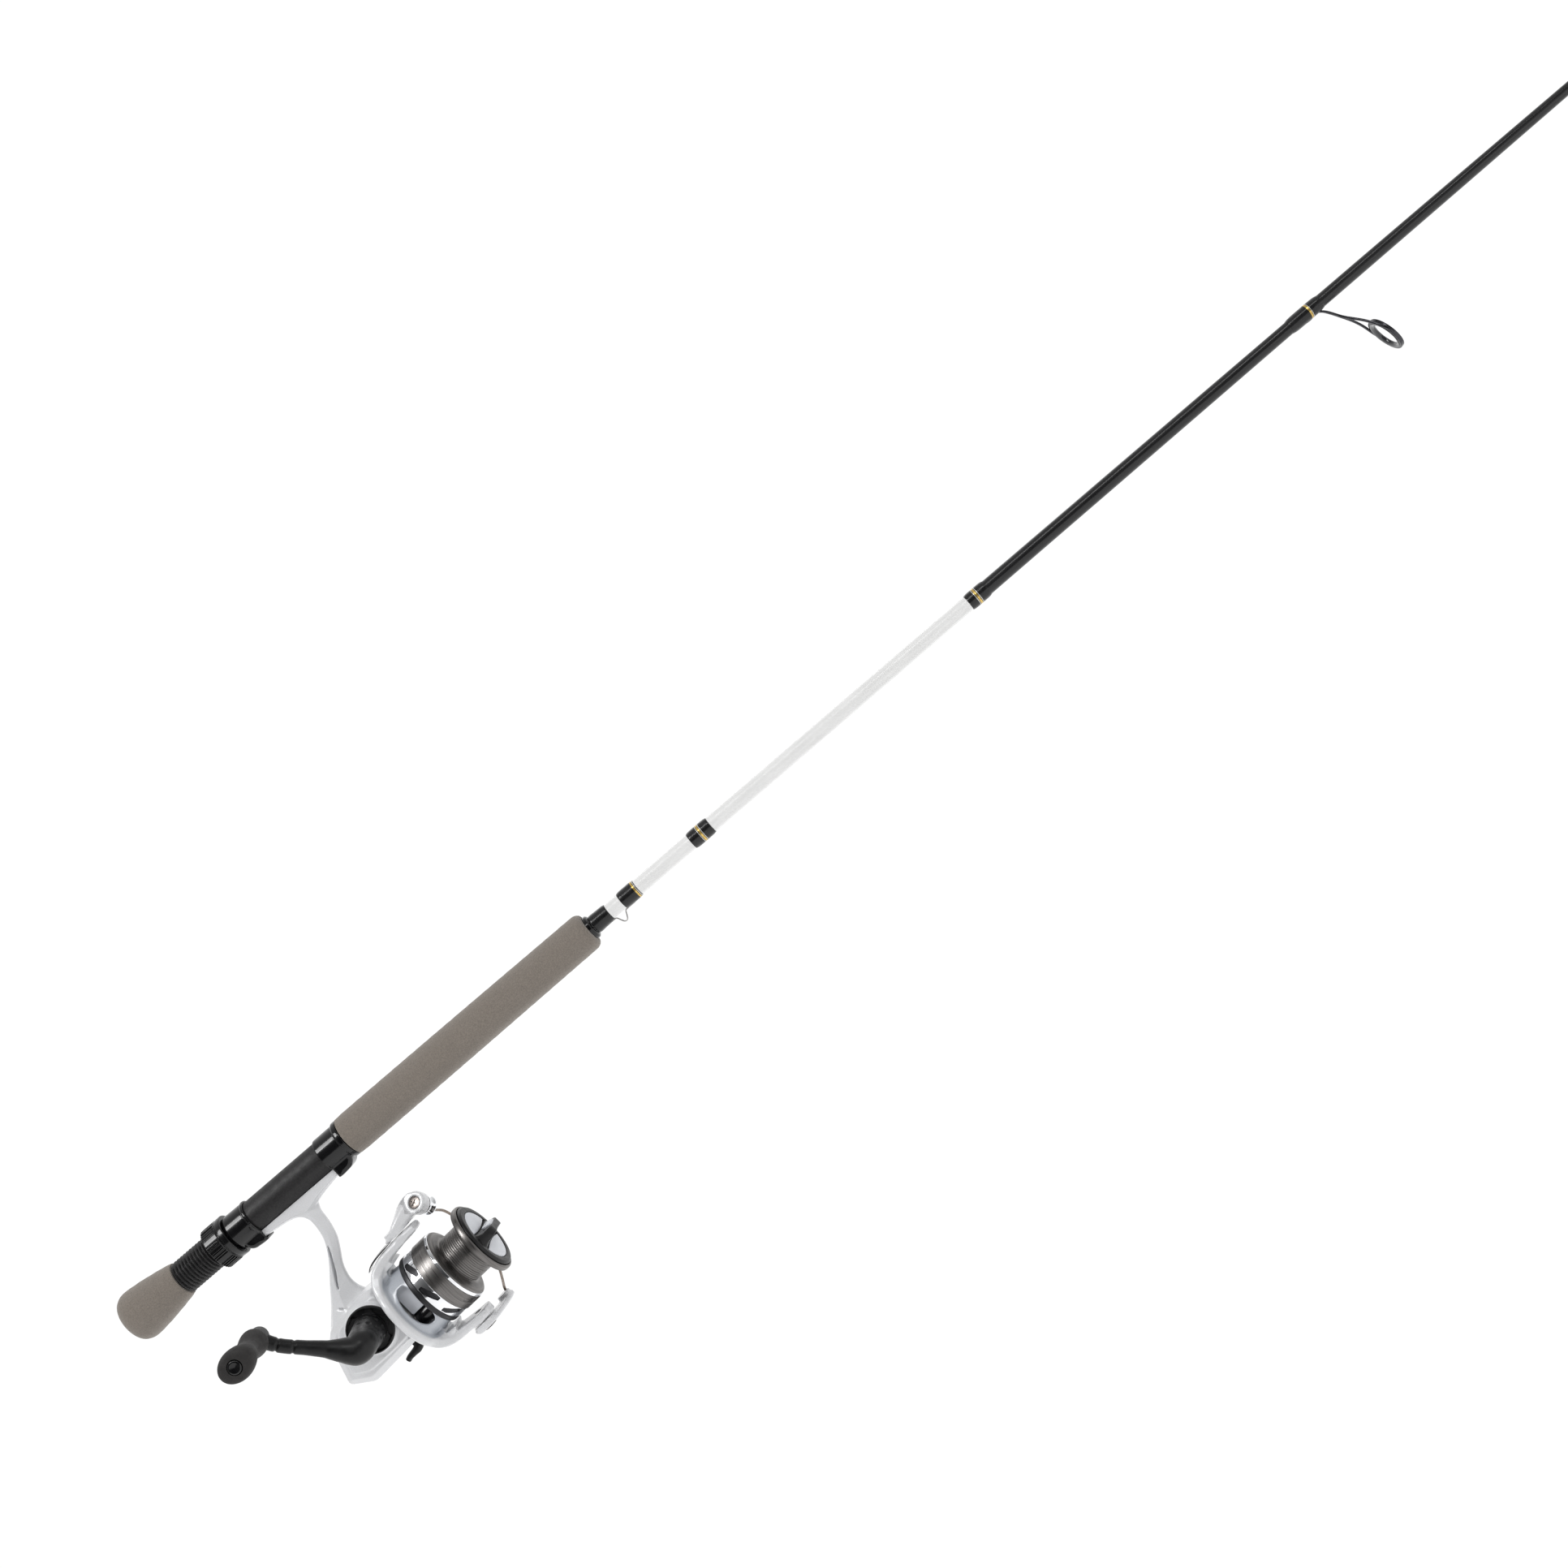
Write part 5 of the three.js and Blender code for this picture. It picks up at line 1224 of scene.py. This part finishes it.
cap_shell = about(spun([(0, 0), *eased([(0, 3.3), (0.4, 3.75), (1.3, 3.6), (2.6, 2.2), (3.4, 1.1)], 0.5),
                        (3.6, 0)], 48),
                  on_roller(15.1), roller_axis_world)
wire_obj = piece("bail_wire_loop", merged(reel(swept(WIRE, 0.8, 0.8, 18, 220)), cap_shell), 50)
settle(wire_obj, "bail", "steel", wire_steel, "bail_wire")

lever_line = [(24.2, 0.6, -36.2), (27, 0.2, -36.3), (32.2, 0, -36.4), (37, 3.2, -36.6), (41.5, 9.6, -36.6),
              (44.8, 15.2, -36.4),
              (46.6, 18.4, -36.2)]
lever = cast("bail_lever_casting", [reel(swept(lever_line, [4.0, 7.4, 8.2, 6.3, 5.0, 4.6, 3.2],
                                               [1.0, 1.7, 1.9, 1.9, 1.9, 2.0, 1.5], 36, 110, power=4.0)),
                                    reel(disc_z(PIVOT_X, 0, -38.2, -34.2, 8.2, 0.8)),
                                    reel(disc_z(44.4, 15.2, -37.6, -32.6, 4.3, 1.2))],
             [reel(disc_z(PIVOT_X, 0, -42, -37.8, 4.2, 0.0, 48))], 0.4, 4)
settle(lever, "bail", "pearl_paint", pearl_paint, "bail_lever")
print("bail parts done")

# %% [markdown]
# **Spool.** Turned from bar. The skirt's rear ring is dark, then comes a polished band pierced by
# slanting ports, then the anodised band, a bright bevel and the dark front face. The arbor has fine
# rings turned in it: r = 15 + 0.26 |cos(pi x / 1.25)|^0.7. The long lip throws the line clear.

# %% Spool
arbor_x = np.arange(45.4, 58.6, 0.1)
arbor = np.stack([arbor_x, 15.0 + 0.26 * np.abs(np.cos(math.pi * arbor_x / 1.25)) ** 0.7], 1)
PORT = ((24.9, 15.5), (27.0, 15.5), (30.6, -7.0), (30.3, -15.5), (28.2, -15.5), (24.9, 6.5))


def clip_notch(x, a, r):
    """A shallow tongue-shaped recess near the front edge of the band, low on the near side."""
    u = (x - 38.3) / 2.9
    v = (np.degrees(a) - 180 - 62) / 17
    inside = np.clip(4.0 * (1 - (np.abs(u) ** 4 + np.abs(v) ** 4)), 0, 1)
    return -0.55 * inside * (r > 22.6) * (x < 41.2)


band = [(21.0, 21.5), *eased([(21.0, 22.4), (21.5, 22.75), (23.9, 22.85), (24.4, 22.2)], 0.25), (24.4, 21.5)]
settle(piece("spool_rear_ring", reel(spun(band, 128)), 40), "spool", "gunmetal", dark_metal)

ported = piece("spool_ported_band", reel(spun([(24.2, 21.7), (24.2, 22.5), (24.7, 22.75), (30.6, 22.75),
                                               (31.1, 22.4),
                                               (31.1, 21.7)], 192)), 40)
cutters = []
for k in range(8):
    loops = []
    for r in (21.2, 24.0):
        corner = eased(PORT, 0.8, 3, closed=True)
        a = np.radians(corner[:, 1] + 180 - 45 * k)
        loops.append(np.stack([corner[:, 0], r * np.cos(a), r * np.sin(-a)], -1))
    cutters.append(reel(stack(loops)))
carved(ported, merged(*cutters))
evened(ported, 30)
settle(ported, "spool", "chrome", chrome)
# Painted shade: a thin dark tube under the ported band gives each port a black floor, standing for the shade
# inside the ports.
port_shade_tube = spun([(24.2, 21.62), (31.2, 21.62), (31.2, 21.9), (24.2, 21.9)], 128)
settle(piece("spool_port_painted_shade", reel(port_shade_tube), 40), "spool", "gunmetal", dark_metal)

skirt_x = np.arange(31.6, 40.4, 0.2)
skirt = [(31.0, 21.8), (31.0, 22.8), (31.3, 23.05), *np.stack([skirt_x, np.full(len(skirt_x), 23.05)], 1),
         (40.7, 23.0),
         (40.8, 22.6), (40.8, 21.8)]
settle(piece("spool_anodised_band", reel(spun(skirt, 512, clip_notch)), 28), "spool", "gunmetal", gunmetal)
bevel = [(40.6, 21.8), *eased([(40.7, 22.7), (41.0, 23.0), (42.4, 22.55), (42.6, 22.2)], 0.15), (42.6, 21.8)]
settle(piece("spool_bright_bevel", reel(spun(bevel, 128)), 40), "spool", "chrome", chrome)
front = [(33, 2.1), (33, 9), (40, 9), (40, 21.8), *eased([(42.4, 22.3), (43.0, 22.1), (44.3, 19.5),
                                                          (44.6, 16.4), (45.2, 15.1)], 0.5),
         *arbor, *eased([(58.8, 15.1), (59.9, 16.2), (60.4, 20.6), (61.0, 22.2), (62.0, 22.45), (63.6, 22.45),
                         (64.5, 22.0),
                         (64.6, 21.0), (63.0, 21.0)], 0.5), (63.0, 11.2), (52, 11.2), (52, 2.1)]
settle(piece("spool_arbor", reel(spun(front, 128)), 35), "spool", "gunmetal", gunmetal, "spool")
print("spool with 8 ports")

# %% [markdown]
# ** Drag knob.** A black cap that screws on the shaft, with a wedge bar to turn it by. The bar's section
# is widest at its two ends and waisted in the middle, and its ends slope up to a short ridge. Two
# pale half discs are let into the face at either side of it. A small pale slab on the bar's upper
# slope is a painted highlight.

# %% Drag knob and its inlays
def wedge_bar():
    """Sections across y: half height 4.2 + 1.7 (y / 16.3)^2 at the foot and about 2 at the ridge,
    which rises between |y| = 16.3 and 6.8."""
    y = np.linspace(-16.3, 16.3, 61)
    rise = np.clip((16.3 - np.abs(y)) / 9.5, 0, 1)
    ridge = 66.0 + 8.5 * np.sin(rise * math.pi / 2) ** 0.9
    foot = 4.2 + 1.7 * (np.abs(y) / 16.3) ** 2
    crown = np.minimum(foot - 0.4, 1.9 + 0.9 * (np.abs(y) / 16.3))
    flute = 0.85 * np.exp(-((np.abs(y) - 11.0) / 4.5) ** 2)
    low = 65.0 + 0 * y
    mid = low + (ridge - low) * 0.55
    x = np.stack([low, mid, ridge - 0.35, ridge, ridge, ridge - 0.35, mid, low], -1)
    half = np.stack([foot, (foot + crown) / 2 - flute, crown, crown - 0.4], -1)
    z = np.concatenate([half, -half[:, ::-1]], 1)
    return stack(np.stack([x, y[:, None] + 0 * x, z], -1))


cap_profile = [(58.9, 0), (58.9, 6), (63.4, 6), *eased([(63.4, 20.3), (63.8, 20.6), (65.2, 20.7), (66.4, 19.6),
                                                        (66.5, 17.0),
                                                          (65.9, 16.4), (65.5, 16.3)], 0.35), (65.5, 0)]
knob_obj = piece("drag_knob_cap", merged(reel(spun(cap_profile, 128)), reel(wedge_bar())), 32)
settle(knob_obj, "drag_knob", "black_gloss", satin_black, "drag_knob")


def half_disc(side):
    """The face's disc of radius 16 without the bar's footprint, which follows the bar's waist."""
    y = np.linspace(-15.2, 15.2, 41)
    base = (4.5 + 1.7 * (np.abs(y) / 16.3) ** 2)
    rim = np.sqrt(16.0 ** 2 - y ** 2)
    keep = rim > base + 0.3
    lower = np.stack([y[keep], base[keep]], 1)
    upper = np.stack([y[keep], rim[keep]], 1)[::-1]
    loop = np.concatenate([lower, upper])
    p, faces = slab(loop, 65.3, 66.3, 0.25, plane="xy", steps=3)
    return reel((np.stack([p[:, 2], p[:, 0], side * p[:, 1]], -1),
                 faces if side > 0 else [f[::-1] for f in faces]))


settle(piece("drag_face_upper", half_disc(1), 40), "drag_knob", "silver_paint", pale_silver_and_highlight,
       "drag_inlay_upper")
settle(piece("drag_face_lower", half_disc(-1), 40), "drag_knob", "silver_paint", pale_silver_and_highlight,
       "drag_inlay_lower")
# Painted highlight: a pale slab on the bar's upper slope, where the light falls, stands for the glint along the
# ridge.
points, faces = slab(eased([(-6.6, 68.6), (-5.2, 73.8), (5.2, 73.8), (6.6, 68.6)], 1.4, 5, closed=True), 1.7,
                     3.3, 0.35, plane="xy")
tongue = np.stack([points[:, 1], points[:, 0], points[:, 2] + (73.8 - points[:, 1]) * 0.22], -1)
settle(piece("drag_bar_painted_highlight", reel((tongue, [face[::-1] for face in faces])), 40), "drag_knob", "silver_paint",
       pale_silver_and_highlight)
print("drag knob stands", 74.5 - 64.6, "mm ahead of the spool")

# %% [markdown]
# **Anti-reverse lever.** A small hooked tab under the body, behind the rotor, which a finger flicks
# over. It is a short post and a tapering hooked sweep, joined in one moulding.

# %% Anti-reverse lever
lever_tab = swept([(-4.6, 0, -15.6), (-4.6, 0, -18.2), (-6.2, 0, -19.6), (-9.5, 0, -20.0), (-13, 0, -20.3),
                   (-15.2, 0, -21.0)],
                  [2.6, 3.0, 3.2, 3.2, 3.2, 2.8], [2.6, 2.8, 2.5, 2.0, 1.8, 1.7], 28, 60, power=3.0)
post = disc_z(-5, 0, -18.5, -12.2, 2.1, 0.2, 40)
switch = cast("anti_reverse_tab", [reel(lever_tab), reel(post)], (), 0.3, 3)
settle(switch, "anti_reverse_lever", "black_satin", satin_black, "anti_reverse_lever")
print("switch:", len(switch.data.vertices), "points")

# %% [markdown]
# Parts that the frame already shapes truly keep their CAD mesh and only take a finish: gears, shaft,
# bearing and pins, mostly out of sight.

# %% Finishes for the CAD parts that stay
KEPT = {"drive_gear": brass, "oscillation_gear": brass, "pinion": brass, "rotor_nut": brass,
        "main_shaft": steel,
        "pinion_bearing": steel, "knob_pin": steel, "oscillation_slider": satin_black, "drag_washers": felt,
        "seat_arbor": felt}
for name, finish in KEPT.items():
    node = frame["nodes"][name]
    node.data.materials.clear()
    node.data.materials.append(finish.material)
print("finished", len(KEPT), "kept parts")

# %% [markdown]
# The studio is a pale floor well below, and a world that is white ahead of the camera and dark behind
# it. A large soft key lights from the upper left behind the camera, with a weak fill from the right, a
# strip that draws highlights along the rod, and a low light from behind the reel.

# %% Studio
def soft_light(name, place, aim, size, watts):
    data = bpy.data.lights.new(name, "AREA")
    data.shape = "RECTANGLE"
    data.size, data.size_y = size
    data.energy = watts
    light = linked(name, data)
    facing = (Vector(place) - Vector(aim)).to_track_quat("Z", "Y").to_matrix().to_4x4()
    light.matrix_world = Matrix.Translation(place) @ facing


soft_light("key", (-0.9, -1.3, 2.0), (0.1, 0, -0.05), (0.8, 0.8), 22)
soft_light("fill", (1.8, -1.4, -0.2), (0.1, 0, -0.05), (1.2, 1.2), 2)
soft_light("strip", (0.3, -1.05, 1.15), (0.3, 0, 0), (2.6, 0.22), 11)
soft_light("back", (0.3, 1.6, 1.2), (0.2, 0, 0), (1.5, 1.0), 3)
world = bpy.data.worlds.new("white_room")
world.use_nodes = True
room = world.node_tree
toward = room.nodes.new("ShaderNodeTexCoord")
split = room.nodes.new("ShaderNodeSeparateXYZ")
room.nodes["Background"].inputs["Color"].default_value = (1, 1, 1, 1)
falloff = room.nodes.new("ShaderNodeMapRange")
falloff.inputs["From Min"].default_value = -1.0
falloff.inputs["From Max"].default_value = 0.8
falloff.inputs["To Min"].default_value = 0.03
falloff.inputs["To Max"].default_value = 1.03
room.links.new(toward.outputs["Generated"], split.inputs["Vector"])
room.links.new(split.outputs["Y"], falloff.inputs["Value"])
room.links.new(falloff.outputs["Result"], room.nodes["Background"].inputs["Strength"])
bpy.context.scene.world = world
bpy.context.scene.view_settings.view_transform = "Standard"

FLOOR_HALF, FLOOR_Z = 14.0, -2.6
floor_mesh = bpy.data.meshes.new("floor")
corners = [(x * FLOOR_HALF, y * FLOOR_HALF, FLOOR_Z) for x, y in ((-1, -1), (1, -1), (1, 1), (-1, 1))]
floor_mesh.from_pydata(corners, [], [(0, 1, 2, 3)])
floor = linked("floor", floor_mesh)
pale = Finish("pale_floor", (0.9, 0.9, 0.9), 0.95, Emission_Color=(1, 1, 1, 1), Emission_Strength=0.6)
pale.mottle(900, 0.99, 1.0)
floor.data.materials.append(pale.material)
print("studio lit")
